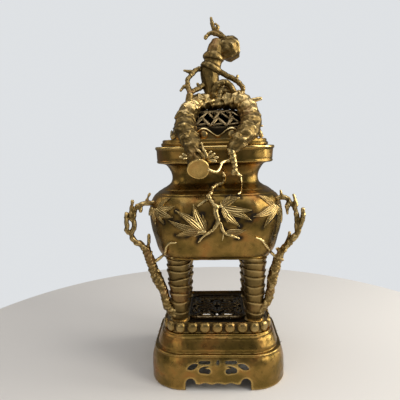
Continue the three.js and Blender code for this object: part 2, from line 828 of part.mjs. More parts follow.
function handleRight(grow = 0) {
  const trunk = [
    byLeg(1, 5, 3, 10, handleRadius),
    byLeg(1, 15, 5, 25, handleRadius - 0.8),
    byLeg(1, 19, 5, 35, handleRadius - 0.8),
    byLeg(1, 21, 5, 45, handleRadius - 0.5),
    byLeg(1, 24, 6, 61, handleRadius),
    byLeg(1, 27, 7, 74, handleRadius),
    rootFork(1, 6),
    byVessel(1, -3, 11, 10, 5),
    byVessel(1, 3, 13, 18.5, 4.3),
    byVessel(1, 9, 15, 25.5, 3.8),
    byVessel(1, 15, 15, 34.5, 3.3),
    byVessel(1, 15, 15, 44.5, 3.1),
    byVessel(1, 14, 15, 56.5, 3),
    byVessel(1, 13, 14, 63.5, 2.9),
    byVessel(1, 8, 12, 71.5, 2.8),
    byVessel(1, 2, 10, 78, 2.8),
    byVessel(1, -6, 8, 78.5, 2.8),
    byVessel(1, -16, 4, 73, 2.6),
  ];
  const twigs = [
    [byVessel(1, 15, 15, 33, 2.4), byVessel(1, 21, 17, 47.5, 2.7), byVessel(1, 23, 18, 54.5, 2.7),
      byVessel(1, 22, 19, 65.5, 2)],
    [byVessel(1, 12.5, 14, 64, twigRadius), byVessel(1, 13, 15, 70, 2.3), byVessel(1, 12, 15, 75.5, 2.2),
      byVessel(1, 10, 15, 82.5, 1.5)],
    [byVessel(1, -3, 9, 78, 2), byVessel(1, -4, 8, 83, 1.8), byVessel(1, -5, 8, 87.5, 1.5)],
    [byVessel(1, 3, 12, 73, 2), byVessel(1, 3, 13, 66, 2.5), byVessel(1, 3, 13, 58, 1.6)],
    [byVessel(1, 0, 12, 12, 2.5), byVessel(1, 2, 11, 19, twigRadius), byVessel(1, 5, 11, 27, 2.4),
      byVessel(1, 6, 11, 34, 1.8)],
    [byLeg(1, 17, 5, 30, 2.4), byLeg(1, 24, 6, 32, 1.8)],
  ];
  return joined([tubeSolid(trunk, 8, 2, grow), ...twigs.map((twig) => tubeSolid(twig, 5, 1, grow))]);
}

// A thin root from each handle's trunk on to the belly. Its far end lies on the wall.
function handleRoot(side) {
  const wall = [[82, 10, 1.8], [72, 14, 1.7], [64, 20, 1.5], [58, 25, 1.3], [50, 28, 1.1]];
  const points = wall.map(([u, up, r]) => {
    const p = onVessel(side * u, up, r + reliefGap);
    return [p.x, p.y, p.z, r];
  });
  return tubeSolid([rootFork(side, 2), ...points], 6);
}

// The lid's plate, with a flange that drops into the mouth.
function lidPlate() {
  const flangeOuter = mouthHalf - flangeClearance;
  const flangeInner = flangeOuter - flangeThick;
  const rings = [
    [lidPlateHalf - 1, plateBottom],
    [lidPlateHalf, plateBottom + 1.2],
    [lidPlateHalf, plateTop - 1.2],
    [lidPlateHalf - 1.2, plateTop],
    [lidHoleHalf, plateTop],
    [lidHoleHalf, plateTop - lidPlateThick / 2],
    [flangeInner, plateTop - lidPlateThick / 2],
    [flangeInner, plateBottom - flangeDepth],
    [flangeOuter, plateBottom - flangeDepth],
    [flangeOuter, plateBottom],
  ];
  return ringSolid(rings.map(([half, z]) => vesselRing(half, z)), true);
}

function plateBlock(gap) {
  const half = lidPlateHalf + gap;
  return ringSolid([vesselRing(half, plateBottom - gap), vesselRing(half, plateTop + gap)]);
}

// The dome, an inverted cup with leaf-shaped holes. Its plan shrinks evenly towards the crown.
const domeCorner = 34;
const domeOuter = [
  [1, 0],
  [1, 0.23],
  [0.985, 0.33],
  [0.93, 0.51],
  [0.84, 0.7],
  [0.7, 0.865],
  [0.58, 0.955],
  [0.46, 1],
].map(([share, risen]) => [share * domeHalf, domeBottom + risen * domeHeight]);

function domeRing([half, z]) {
  const share = half / domeHalf;
  return { x: half, y: (domeHalf - depthLess) * share, r: domeCorner * share, z };
}

function lidDome() {
  const inner = grownProfile(domeOuter, -domeWall).reverse();
  inner[0] = [0.44 * domeHalf, crown - domeWall];
  inner[inner.length - 1] = [domeHalf - domeWall, domeBottom];
  const dome = ringSolid([...inner, ...domeOuter].map(domeRing));
  const stud = new THREE.CylinderGeometry(archStudRadius + seat, archStudRadius + seat, 20, 12);
  stud.rotateX(Math.PI / 2);
  return cutBy(dome, [...domeHoles(), solidFrom(stud, [...archStud, crown])]);
}

function domeHoles() {
  const rows = [
    { level: 3.45, count: 12, long: 8, high: 2, tilt: 0.9, shift: 0.5 },
    { level: 4.6, count: 8, long: 7, high: 2, tilt: -0.8, shift: 0 },
  ];
  return rows.flatMap(({ level, count, long, high, tilt, shift }) => {
    const k = Math.floor(level);
    const low = domeOuter[k];
    const top = domeOuter[k + 1];
    const half = THREE.MathUtils.lerp(low[0], top[0], level - k);
    const z = THREE.MathUtils.lerp(low[1], top[1], level - k);
    const ring = domeRing([half, z]);
    const slope = Math.atan2(low[0] - top[0], top[1] - low[1]);
    const holes = [];
    for (let i = 0; i < count; i++) {
      const at = onRing(ring, alongAt(ring, (girth(ring) * (i + shift)) / count));
      const options = { depth: 6 * domeWall, bevelEnabled: false, curveSegments: 2 };
      const geometry = new THREE.ExtrudeGeometry(lensShape(0, 0, long, high), options);
      geometry.translate(0, 0, -3 * domeWall);
      geometry.rotateZ(tilt);
      geometry.rotateX(Math.PI / 2 - slope);
      geometry.rotateZ(Math.atan2(at.out.x, -at.out.y));
      geometry.translate(at.place.x, at.place.y, at.place.z);
      holes.push(solidFrom(geometry));
    }
    return holes;
  });
}

function domeBlock(gap) {
  const profile = grownProfile(domeOuter, gap);
  profile[profile.length - 1] = [domeOuter[domeOuter.length - 1][0], crown + gap];
  return ringSolid(profile.map(domeRing));
}

// The cusped border round the dome's skirt.
function borderLoops(innerHalf, outerHalf, bottom, height) {
  const pointsPerLobe = 8;
  const count = borderLobes * pointsPerLobe;
  const corner = domeCorner + outerHalf - domeHalf;
  const levels = [[outerHalf, 0], [outerHalf, 1], [innerHalf, 1], [innerHalf, 0]];
  return levels.map(([half, raised]) => {
    const ring = { x: half, y: half - depthLess, r: corner - (outerHalf - half), z: bottom };
    const loop = [];
    for (let i = 0; i < count; i++) {
      const lobe = (1 - Math.cos(2 * Math.PI * (i / pointsPerLobe - borderShift))) / 2;
      const point = onRing(ring, alongAt(ring, (girth(ring) * i) / count)).place;
      point.z += raised * height * (0.3 + 0.7 * lobe ** 0.8);
      loop.push(point);
    }
    return loop;
  });
}

function cuspedBorder() {
  const inner = domeHalf + seat;
  return loftSolid(borderLoops(inner, inner + borderThick, domeBottom, borderHeight), true);
}

function borderBlock(gap) {
  const half = domeHalf + seat + borderThick + gap;
  const corner = domeCorner + half - domeHalf;
  const ring = (z) => ({ x: half, y: half - depthLess, r: corner, z });
  return ringSolid([ring(domeBottom - gap), ring(domeBottom + borderHeight + gap)]);
}

// The trunk-shaped arch. forward is measured from the collar's front, up from the plate or the crown.
const collarFront = collarHalf + 1.5 - depthLess;
const archStud = [4, -14];

function byCollar(x, forward, up, radius) {
  return [x, -(collarFront + forward), plateTop + up, radius];
}

function byCrown(x, y, up, radius) {
  return [x, y, crown + up, radius];
}

const archPath = [
  byCollar(19, 8, -17, 5.5),
  byCollar(24, 8, -9.5, 8.4),
  byCollar(33, 4, 0, archRadius - 2.2),
  byCollar(42, -6, 10, archRadius),
  byCrown(46, -50, -18, archRadius),
  byCrown(43.5, -37, -4, archRadius - 0.5),
  byCrown(35.5, -24, 8, archRadius - 1.3),
  byCrown(20, -16, 12.5, archRadius - 0.9),
  byCrown(5, -14, 12.5, archRadius - 0.8),
  byCrown(-9, -17, 11.5, archRadius - 1.6),
  byCrown(-21, -25, 7, archRadius - 2.4),
  byCrown(-31, -38, -2, archRadius - 1),
  byCrown(-36, -51, -16, archRadius - 0.2),
  byCollar(-35, -3.5, 10.5, archRadius),
  byCollar(-29.5, 5, -0.5, archRadius - 1),
  byCollar(-25, 11, -10, archRadius - 1.6),
  byCollar(-21.5, 15, -22, archRadius - 1.6),
  byCollar(-19.5, 20, -32, archRadius - 0.8),
  byCollar(-19, 28, -36.5, sawnEndRadius),
];

function archTrunk(grow = 0) {
  return tubeSolid(archPath, 10, 2, grow);
}

function handleArch() {
  const stub = tubeSolid(
    [byCrown(38, -26, 8, 3.4), byCrown(49, -33, 8.5, 2.9), byCrown(61, -33, 10, 2.6)],
    6,
  );
  const studLength = archRadius + domeWall + 12;
  const stud = new THREE.CylinderGeometry(archStudRadius, archStudRadius, studLength, 12);
  stud.rotateX(Math.PI / 2);
  const trunk = cutBy(joined([archTrunk(), stub]), [
    plateBlock(seat),
    borderBlock(2 * seat),
    domeBlock(seat),
    vesselBlock(seat + flangeClearance),
  ]);
  return joined([mainBody(trunk), solidFrom(stud, [...archStud, crown + archRadius - studLength / 2])]);
}

function archNut() {
  const nut = hexNut(nutAcross - 2, nutThick - 1, archStudRadius + seat);
  return solidFrom(nut, [...archStud, crown - domeWall - seat - nutThick + 1]);
}

// The finial: a bamboo stump of three joints, with a gnarled head that leans to the right.
const stumpPath = [
  byCrown(-2, -18, 20, 9),
  byCrown(-3, -17, 28, stumpRadius - 1.2),
  byCrown(-4, -16, 36, stumpRadius - 0.2),
  byCrown(-5, -15, 46, stumpRadius),
  byCrown(-4.5, -14, 49.5, stumpRadius + 0.4),
  byCrown(-3.5, -14, 51.5, stumpRadius + 3.2),
  byCrown(-2.5, -13.5, 54.5, stumpRadius + 2.8),
  byCrown(-1.5, -13, 57, stumpRadius),
  byCrown(0, -12, 63, stumpRadius + 0.6),
  byCrown(0.5, -12, 65.5, stumpRadius + 2.4),
  byCrown(1.2, -11.8, 68, stumpRadius + 2),
  byCrown(2, -11, 70.5, stumpRadius - 0.4),
  byCrown(4, -10, 77, stumpRadius - 0.2),
  byCrown(5, -9, 82, stumpRadius - 1.3),
  byCrown(6, -9, 87, stumpRadius - 3.8),
];

function stumpSolid(grow = 0) {
  return tubeSolid(stumpPath, 10, 1, grow);
}

const headPath = [
  byCrown(8, -8, 78, 10),
  byCrown(15, -7, 79, 14.4),
  byCrown(21.5, -6, 80, 16.4),
  byCrown(28.5, -5.5, 80.5, 15.4),
  byCrown(33.5, -5, 80.5, 13),
];

function headSolid(grow = 0) {
  const hollow = [byCrown(26, -5.5, 80.3, 5), byCrown(30, -5.2, 80.4, 9), byCrown(36, -5, 80.6, 10)];
  return tubeSolid(headPath, 10, 2, grow).subtract(tubeSolid(hollow, 8, 1));
}

function topTwig() {
  const main = [
    byCrown(19, -6, 90, 2.9),
    byCrown(15, -6, 93.5, 2.8),
    byCrown(10, -6, 99, 2.8),
    byCrown(5, -6, 102, 2.7),
    byCrown(1, -6, 107, 2.6),
    byCrown(-2, -6, 120.5, 2),
  ];
  const spur = [byCrown(5, -6, 102, 2), byCrown(7, -6, 107.5, 1.8), byCrown(4, -6, 112, 1.3)];
  const droop = [
    byCrown(14, -6, 94, 2.6),
    byCrown(6, -7, 97.5, 2.7),
    byCrown(0, -7, 100, 2.5),
    byCrown(-5, -7, 98.5, 2.3),
    byCrown(-10, -8, 93, 2.4),
  ];
  return joined([tubeSolid(main, 6), tubeSolid(spur, 5, 1), tubeSolid(droop, 6)]);
}

function leftBranch() {
  const main = [
    byCrown(-8, -15, 52, 3),
    byCrown(-15, -17, 52.5, 3),
    byCrown(-23, -20, 50, 3),
    byCrown(-28, -24, 44, 2.9),
    byCrown(-33, -28, 37, 2.9),
    byCrown(-33, -31, 29, 3),
    byCrown(-30, -35, 20, 3.6),
    byCrown(-31, -38, 12, 4.5),
    byCrown(-31, -38, 3, 5),
  ];
  const twigs = [
    [byCrown(-26, -22, 47, twigRadius), byCrown(-32, -22, 48.5, 2), byCrown(-38, -22, 50, 1.5)],
    [byCrown(-33, -30, 29, 2.3), byCrown(-38, -32, 27.5, 2.1), byCrown(-42, -34, 22.5, 1.7)],
    [byCrown(-9, -19, 33, 3.5), byCrown(-18, -24, 27, 3.3), byCrown(-25, -29, 23, 3.2),
      byCrown(-31, -35, 20, 3)],
    [byCrown(-18, -24, 27, twigRadius), byCrown(-21, -23, 33, 1.6)],
  ];
  return joined([tubeSolid(main, 6), ...twigs.map((twig) => tubeSolid(twig, 5, 1))]);
}

function rightBranch() {
  const main = [
    byCrown(4, -13, 50, 3.5),
    byCrown(10, -14, 48, 3.4),
    byCrown(17, -16, 43, 3.4),
    byCrown(25, -18, 39, 3.4),
    byCrown(33, -20, 33, 3.2),
    byCrown(38, -23, 26, 2.8),
    byCrown(36, -24, 14, 2.8),
  ];
  const twig = [byCrown(29, -19, 36, 2.2), byCrown(32, -17, 42.5, 1.5)];
  return joined([tubeSolid(main, 6), tubeSolid(twig, 5, 1)]);
}

function rootLoop() {
  return tubeSolid(
    [
      byCrown(-1, -26, 16, 4.4),
      byCrown(3, -30, 26, 4.2),
      byCrown(9, -30, 31.5, 4),
      byCrown(16, -28, 32, 4),
      byCrown(23, -26, 27, 4),
      byCrown(28, -22, 16, 4.2),
    ],
    7,
  );
}

// The roots that hang from the arch in front of the collar.
function tailRoot(grow = 0) {
  const main = [
    byCollar(19.5, 10, -16, 4.2),
    byCollar(22, 10, -26, 3.6),
    byCollar(24, 9, -34, 2.6),
    byCollar(23, 8.5, -43.5, 1.6),
  ];
  const toe = [byCollar(24, 9, -36, 2), byCollar(27.5, 8.5, -43, 1.7), byCollar(32, 8.5, -45.5, 1.3)];
  return joined([tubeSolid(main, 6, 2, grow), tubeSolid(toe, 5, 2, grow)]);
}

function rootCurl() {
  return tubeSolid(
    [
      byCollar(-8, 26, -36, 1.8),
      byCollar(2, 22, -39.5, 1.6),
      byCollar(6, 18, -35, 1.5),
      byCollar(8, 15, -30, 1.5),
      byCollar(13, 12, -27, 1.5),
      byCollar(21, 10, -26, 1.6),
    ],
    6,
  );
}

// Putting the object together: what stands still, and the lid that lifts off.
const root = new THREE.Group();
root.name = "incense_burner";
root.position.y = originForward;
const lid = new THREE.Group();
lid.name = "lid";
root.add(lid);

function addStand() {
  addPiece(root, "stand_shell", standShell(), castBronze);
  addPiece(root, "petal_band", petalBand(), brightBronze);
  addPiece(root, "stand_panel", standPanel(), darkBronze);
}

function addLegs() {
  const keepOff = vesselBlock(seat);
  legPlaces().forEach(([x, y], i) => {
    const leg = solidFrom(legGeometry(0), [x, y, 0]).subtract(keepOff);
    addPiece(root, "leg_" + legNames[i], mainBody(leg), castBronze);
    const nut = solidFrom(hexNut(nutAcross, nutThick, legStudRadius + seat), [x, y, nutBottom]);
    addPiece(root, "leg_nut_" + legNames[i], nut, ironGrey);
  });
}

function addVessel() {
  addPiece(root, "vessel_bowl", vesselBowl(), castBronze);
  const sprays = {
    front_left: frontLeftSpray,
    front_right: frontRightSpray,
    corner_left: cornerLeftSpray,
    corner_right: cornerRightSpray,
  };
  const cutters = [handleLeft(seat), handleRight(seat), frontVine(seat)];
  Object.entries(sprays).forEach(([name, spray]) => {
    const solid = spraySolid(spray);
    addPiece(root, "leaves_" + name, mainBody(cutBy(solid, cutters)), brightBronze);
    const rear = addPiece(root, "rear_leaves_" + name, solid, brightBronze);
    rear.rotation.z = Math.PI;
  });
  addPiece(root, "front_vine", frontVine(), brightBronze);
  addPiece(root, "side_strand", sideStrand(), brightBronze);
}

function addHandles() {
  const keepOff = vesselBlock(seat);
  [-1, 1].forEach((side) => {
    const name = side < 0 ? "left" : "right";
    const leg = solidFrom(legGeometry(seat), [side * legX, -legY, 0]);
    const handle = mainBody(cutBy(side < 0 ? handleLeft() : handleRight(), [keepOff, leg]));
    addPiece(root, "branch_handle_" + name, handle, castBronze);
    const grown = side < 0 ? handleLeft(seat) : handleRight(seat);
    const rootlet = mainBody(cutBy(handleRoot(side), [grown, keepOff, leg]));
    addPiece(root, "handle_root_" + name, rootlet, castBronze);
  });
}

function addLid() {
  addPiece(lid, "lid_plate", lidPlate(), castBronze);
  addPiece(lid, "lid_dome", lidDome(), darkBronze);
  addPiece(lid, "cusped_border", cuspedBorder(), brightBronze);
  addPiece(lid, "handle_arch", handleArch(), castBronze);
  addPiece(lid, "arch_nut", archNut(), ironGrey);
  const arch = archTrunk(seat);
  const stump = stumpSolid(seat);
  addPiece(lid, "bamboo_stump", mainBody(stumpSolid().subtract(arch)), castBronze);
  addPiece(lid, "stump_head", mainBody(headSolid().subtract(stump)), castBronze);
  addPiece(lid, "top_twig", mainBody(cutBy(topTwig(), [headSolid(seat), stump])), castBronze);
  addPiece(lid, "left_branch", mainBody(cutBy(leftBranch(), [arch, stump])), castBronze);
  addPiece(lid, "right_branch", mainBody(cutBy(rightBranch(), [arch, stump])), castBronze);
  addPiece(lid, "root_loop", mainBody(cutBy(rootLoop(), [arch, stump])), castBronze);
  addPiece(lid, "tail_root", mainBody(tailRoot().subtract(arch)), brightBronze);
  addPiece(lid, "root_curl", mainBody(cutBy(rootCurl(), [arch, tailRoot(seat)])), brightBronze);
}

addStand();
addLegs();
addVessel();
addHandles();
addLid();

export default root;
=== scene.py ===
# %% [markdown]
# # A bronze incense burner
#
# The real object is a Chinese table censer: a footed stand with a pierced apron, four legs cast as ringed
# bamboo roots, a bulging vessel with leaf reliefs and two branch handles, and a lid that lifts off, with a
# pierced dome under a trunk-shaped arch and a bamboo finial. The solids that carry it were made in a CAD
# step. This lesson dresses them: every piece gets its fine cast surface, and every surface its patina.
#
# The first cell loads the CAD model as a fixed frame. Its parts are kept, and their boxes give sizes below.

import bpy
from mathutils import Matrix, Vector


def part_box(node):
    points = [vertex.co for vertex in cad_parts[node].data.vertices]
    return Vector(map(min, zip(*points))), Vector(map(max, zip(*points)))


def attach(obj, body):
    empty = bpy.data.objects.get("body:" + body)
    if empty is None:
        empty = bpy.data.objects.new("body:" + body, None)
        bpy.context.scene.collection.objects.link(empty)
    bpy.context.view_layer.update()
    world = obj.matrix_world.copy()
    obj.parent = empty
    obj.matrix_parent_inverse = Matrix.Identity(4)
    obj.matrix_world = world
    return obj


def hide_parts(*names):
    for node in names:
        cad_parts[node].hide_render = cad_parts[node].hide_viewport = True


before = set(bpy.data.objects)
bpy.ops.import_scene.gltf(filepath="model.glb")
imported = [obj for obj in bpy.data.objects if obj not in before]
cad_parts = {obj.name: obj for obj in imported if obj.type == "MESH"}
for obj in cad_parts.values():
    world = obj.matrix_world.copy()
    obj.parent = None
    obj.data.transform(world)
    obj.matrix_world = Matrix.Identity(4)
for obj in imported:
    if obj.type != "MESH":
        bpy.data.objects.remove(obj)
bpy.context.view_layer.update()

# %% [markdown]
# Lengths below are in millimetres, because that is how a founder thinks of a casting, and they are turned
# into metres when a mesh is made. They are measured from the middle of the stand. The frame's origin lies a
# little in front of it, so the middle is read from the lid's plate, which is centred on the stand.

# %% Units and the middle of the stand
import math

import bmesh
import bpy
import numpy as np
from mathutils import Matrix, Vector

MM = 0.001
plate_low, plate_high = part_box("lid_plate")
middle = np.array([0.0, (plate_low.y + plate_high.y) / 2, 0.0]) / MM


def box_mm(node):
    """A CAD node's lowest and highest corners, in millimetres from the middle of the stand."""
    low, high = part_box(node)
    return np.array(low) / MM - middle, np.array(high) / MM - middle


print("The middle of the stand lies at", middle.round(2))

# %% [markdown]
# A few levels and widths come straight from the frame. The other sizes of the castings are named where they
# are first used.

# %% Levels read from the frame
stand_half = box_mm("stand_shell")[1][0]
stand_deep = box_mm("stand_shell")[1][1]
DEPTH_LESS = stand_half - stand_deep
deck_top = box_mm("stand_shell")[1][2]
band_low, band_high = box_mm("petal_band")
nut_low, nut_high = box_mm("leg_nut_front_right")
leg_x = (nut_low[0] + nut_high[0]) / 2
leg_y = -(nut_low[1] + nut_high[1]) / 2
vessel_low, vessel_high = box_mm("vessel_bowl")
vessel_half = vessel_high[0]
vessel_bottom = vessel_low[2]
vessel_top = vessel_high[2]
plate_top = box_mm("lid_plate")[1][2]
dome_low, dome_high = box_mm("lid_dome")
crown = dome_high[2]
print("leg", round(leg_x, 1), round(leg_y, 1), "vessel", round(vessel_bottom, 1), round(vessel_top, 1),
      "crown", round(crown, 1))

# %% [markdown]
# ## Bronze and its patina
#
# The metal is leaded brass-coloured bronze, cast by the lost-wax way, chased, and then left to a brown patina
# that hands and cloths have rubbed off wherever it stands proud. So one recipe serves every piece: a warm
# metal, clouded by a broad fire-skin pattern, dark in the hollows and pale yellow on the crests. How proud a
# point stands is measured on the mesh itself and kept with it as an attribute.
#
# Colours are sRGB hex values, and one function turns them to Blender's linear ones.

# %% Colour and node helpers
def linear(hex_code):
    """An sRGB hex colour as linear RGBA."""
    channels = [int(hex_code[i:i + 2], 16) / 255 for i in (1, 3, 5)]
    return [c / 12.92 if c <= 0.04045 else ((c + 0.055) / 1.055) ** 2.4 for c in channels] + [1.0]


def add_node(tree, kind, settings=None, links=None, out=0):
    """Adds a node, sets its properties and sockets, links its inputs, and gives back one of its outputs."""
    node = tree.nodes.new(kind)
    for name, value in (settings or {}).items():
        if isinstance(name, str) and hasattr(node, name):
            setattr(node, name, value)
        else:
            node.inputs[name].default_value = value
    for name, output in (links or {}).items():
        tree.links.new(output, node.inputs[name])
    return node.outputs[out]


# %% [markdown]
# The recipe mixes its colours in the order in which they came to the real surface: the bare metal with its
# fire skin and stains, then the dirt and patina of the hollows, then the rubbed crests. Where a piece carries
# painted shade in its wear attribute, the hollows' dark colour paints it, and a painted highlight takes the
# crests' pale colour. A metal keeps its default IOR, and only the patina and the painted shade, which are no
# metal, lower the metallic value.

# %% The bronze recipe
FIRE_SKIN = 26.0  # width of the broad clouds of colour
STAIN = 7.0  # width of the smaller stains
SAND = 0.9  # grain left by the casting mould, which is 0.2 mm on the real one, drawn coarser to show


def patinated_bronze(name, metal, cloud, ember, hollow, crest, rough=0.36, sand=0.3):
    """Cast bronze. Metal and cloud are its broad colours, ember its stains, hollow and crest its wear."""
    material = bpy.data.materials.new(name)
    material.use_nodes = True
    tree = material.node_tree
    shader = tree.nodes["Principled BSDF"]
    place = add_node(tree, "ShaderNodeTexCoord", out="Object")
    # The attribute holds the wear, and on some pieces painted shade and painted highlight as well.
    wear_and_painted_light = add_node(tree, "ShaderNodeAttribute", {"attribute_name": "wear_and_painted_light"}, out="Fac")
    clouds, stains, grain = (
        add_node(tree, "ShaderNodeTexNoise", {"Scale": 1 / (size * MM), "Detail": detail, "Distortion": 0.4},
                 {"Vector": place})
        for size, detail in ((FIRE_SKIN, 4.0), (STAIN, 5.0), (SAND, 3.0)))
    proud_and_painted_light = add_node(tree, "ShaderNodeMath", {"operation": "MULTIPLY_ADD", 1: 0.12}, {0: grain, 2: wear_and_painted_light})
    shares = {
        key: add_node(
            tree, "ShaderNodeMapRange",
            {"interpolation_type": "SMOOTHSTEP", "From Min": low, "From Max": high, "To Min": least,
             "To Max": most},
            {"Value": source})
        for key, source, low, high, least, most in (
            ("clouded", clouds, 0.36, 0.66, 0.0, 0.85),
            ("stained", clouds, 0.46, 0.3, 0.0, 0.6),
            ("dirty", stains, 0.46, 0.22, 0.0, 0.4),
            ("pitted_and_painted_shade", proud_and_painted_light, 0.52, 0.16, 0.0, 1.0),
            ("rubbed_and_painted_highlight", proud_and_painted_light, 0.66, 0.98, 0.0, 0.9),
            ("metallic", proud_and_painted_light, 0.1, 0.36, 0.65, 1.0),
            ("dull", stains, 0.7, 0.3, 0.0, 0.14),
        )
    }
    colour = None
    for key, tint in (("clouded", cloud), ("stained", ember), ("dirty", hollow), ("pitted_and_painted_shade", hollow),
                      ("rubbed_and_painted_highlight", crest)):
        links = {0: shares[key]}
        if colour:
            links[6] = colour
        colour = add_node(tree, "ShaderNodeMix", {"data_type": "RGBA", 6: linear(metal), 7: linear(tint)},
                          links, out=2)
    tree.links.new(colour, shader.inputs["Base Color"])
    tree.links.new(shares["metallic"], shader.inputs["Metallic"])
    matt = add_node(tree, "ShaderNodeMath", {"operation": "MULTIPLY_ADD", 1: 0.25, 2: rough - 0.06},
                    {0: shares["pitted_and_painted_shade"]})
    matt = add_node(tree, "ShaderNodeMath", {"operation": "ADD"}, {0: matt, 1: shares["dull"]})
    matt = add_node(tree, "ShaderNodeMath", {"operation": "MULTIPLY_ADD", 1: -0.1},
                    {0: shares["rubbed_and_painted_highlight"], 2: matt})
    tree.links.new(matt, shader.inputs["Roughness"])
    skin = add_node(tree, "ShaderNodeMath", {"operation": "ADD"}, {0: stains, 1: grain})
    bump = add_node(tree, "ShaderNodeBump", {"Strength": 0.5, "Distance": sand * MM}, {"Height": skin})
    tree.links.new(bump, shader.inputs["Normal"])
    return material


# %% [markdown]
# Five finishes come from the one recipe. The stand, the vessel and the lid's plate have smooth cast walls,
# with soft reflections. The bark was chased with small punches, which breaks its gloss. The reliefs are
# rubbed bright. The openwork and the deck are never touched, so they stay nearly black. The nuts are brass,
# turned and dull. Worn cast bronze has a roughness of 0.3 to 0.45, and these values start there.

# %% The five finishes
bronzes = {
    "cast_bronze": patinated_bronze(
        "smooth_cast_bronze", "#97773f", "#695729", "#9e6a36", "#2b2215", "#e0be76", rough=0.32, sand=0.07),
    "bark_bronze": patinated_bronze(
        "chased_bark_bronze", "#856d40", "#5f4f2e", "#805b3d", "#1f1a11", "#dfc284", rough=0.42, sand=0.07),
    "bright_bronze": patinated_bronze(
        "rubbed_relief_bronze", "#987e4c", "#746035", "#9c7648", "#251d12", "#f7dd9d", rough=0.31, sand=0.07),
    "dark_bronze": patinated_bronze(
        "dark_openwork_bronze", "#3a3022", "#282218", "#483925", "#100e0b", "#917e5b", rough=0.38, sand=0.1),
    "nut_brass": patinated_bronze(
        "turned_nut_brass", "#977f4b", "#78643c", "#977843", "#2e2518", "#dbc289", rough=0.38, sand=0.1),
}
print("Finishes:", ", ".join(bronzes))

# %% [markdown]
# ## Meshes from points
#
# Each piece is made as arrays of points and faces. Before it gets its finish, its mesh is read for wear:
# every point is compared with the average of its surroundings, and what stands proud of it is what a cloth
# rubs.

# %% Measuring what stands proud
def settled(points, edges, rounds):
    """Each point moved to the average of its neighbours, several times over."""
    count = len(points)
    ends = np.concatenate([edges[:, 0], edges[:, 1]])
    others = np.concatenate([edges[:, 1], edges[:, 0]])
    degree = np.maximum(np.bincount(ends, minlength=count), 1)
    for _ in range(rounds):
        sums = [np.bincount(ends, weights=column[others], minlength=count) for column in points.T]
        points = np.stack([total / degree for total in sums], axis=1)
    return points


def places_and_normals(mesh):
    """The points of a mesh, in millimetres from the middle of the stand, and which way they face."""
    places = np.empty(len(mesh.vertices) * 3)
    mesh.vertices.foreach_get("co", places)
    normals = np.empty(len(mesh.vertices) * 3)
    mesh.vertex_normals.foreach_get("vector", normals)
    return places.reshape(-1, 3) / MM - middle, normals.reshape(-1, 3)


def mark_wear_and_shade(mesh, shade=None, fine_mm=0.25, broad_mm=0.7, fine_rounds=4, broad_rounds=20, even=0.5,
              soft_rounds=1):
    """Keeps, for each point, the even value on a plain surface, more on a crest and less in a hollow.

    The shade, if any, is taken off at each point: painted shade where positive, a painted highlight where
    negative.
    """
    points, normals = places_and_normals(mesh)
    edges = np.empty(len(mesh.edges) * 2, dtype=np.int64)
    mesh.edges.foreach_get("vertices", edges)
    edges = edges.reshape(-1, 2)
    near = settled(points, edges, fine_rounds)
    far = settled(near, edges, broad_rounds)
    fine = ((points - near) * normals).sum(axis=1) / fine_mm
    broad = ((near - far) * normals).sum(axis=1) / broad_mm
    wear_and_painted_light = even + 0.5 * np.tanh(0.6 * fine + 0.6 * broad)
    wear_and_painted_light = settled(wear_and_painted_light[:, None], edges, soft_rounds)[:, 0]
    if shade is not None:
        wear_and_painted_light -= shade
    mesh.attributes.new("wear_and_painted_light", "FLOAT", "POINT").data.foreach_set("value", wear_and_painted_light)


def painted_inner_shade(mesh, amount=0.6):
    """Painted shade on what faces the burner's own middle: a darker colour on its insides."""
    places, normals = places_and_normals(mesh)
    reach = np.maximum(np.linalg.norm(places[:, :2], axis=1), 1)
    inward = -(places[:, :2] * normals[:, :2]).sum(axis=1) / reach
    return amount * np.clip(2 * inward + 0.4, 0, 1)


# %% [markdown]
# One function turns points and faces into a mesh, one runs modifiers over it, and one makes it an object that
# rides on its body, stands in for its CAD node and carries its finish.

# %% From points to a placed piece
def new_mesh(name, points, faces):
    """A mesh from points in millimetres, measured from the middle of the stand."""
    mesh = bpy.data.meshes.new(name)
    placed = (np.asarray(points) + middle) * MM
    mesh.from_pydata(placed.tolist(), [], [tuple(int(i) for i in face) for face in faces])
    mesh.validate()
    mesh.update()
    return mesh


def evaluated(mesh, name, modifiers):
    """The mesh after modifiers, each given as its kind and settings."""
    helper = bpy.data.objects.new("helper", mesh)
    bpy.context.scene.collection.objects.link(helper)
    for kind, settings in modifiers:
        modifier = helper.modifiers.new(kind.lower(), kind)
        for key, value in settings.items():
            setattr(modifier, key, value)
    graph = bpy.context.evaluated_depsgraph_get()
    result = bpy.data.meshes.new_from_object(helper.evaluated_get(graph))
    bpy.data.objects.remove(helper)
    result.name = name
    return result


def place_piece(name, mesh, body, slot, *nodes, sharp=40, wear=None, shade=None):
    """Puts a mesh in the scene as a piece of the burner, and hides the CAD nodes it stands for."""
    mark_wear_and_shade(mesh, shade, **(wear or {}))
    mesh.shade_smooth()
    mesh.set_sharp_from_angle(angle=math.radians(sharp))
    mesh.materials.clear()
    mesh.materials.append(bronzes[slot])
    piece = bpy.data.objects.new(name, mesh)
    bpy.context.scene.collection.objects.link(piece)
    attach(piece, body)
    if nodes:
        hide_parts(*nodes)
    print(f"{name}: {len(mesh.polygons)} faces")
    return piece


# %% [markdown]
# Grids make most shapes: a rectangle of points, closed round one way. Several meshes are merged into one with
# their faces renumbered.

# %% Grids and merging
def grid_faces(rows, columns, close_columns=True, close_rows=False):
    """Quads over a grid of rows by columns."""
    index = np.arange(rows * columns).reshape(rows, columns)
    if close_columns:
        index = np.column_stack([index, index[:, 0]])
    if close_rows:
        index = np.vstack([index, index[:1]])
    corners = (index[:-1, :-1], index[:-1, 1:], index[1:, 1:], index[1:, :-1])
    return np.stack([c.ravel() for c in corners], axis=1)


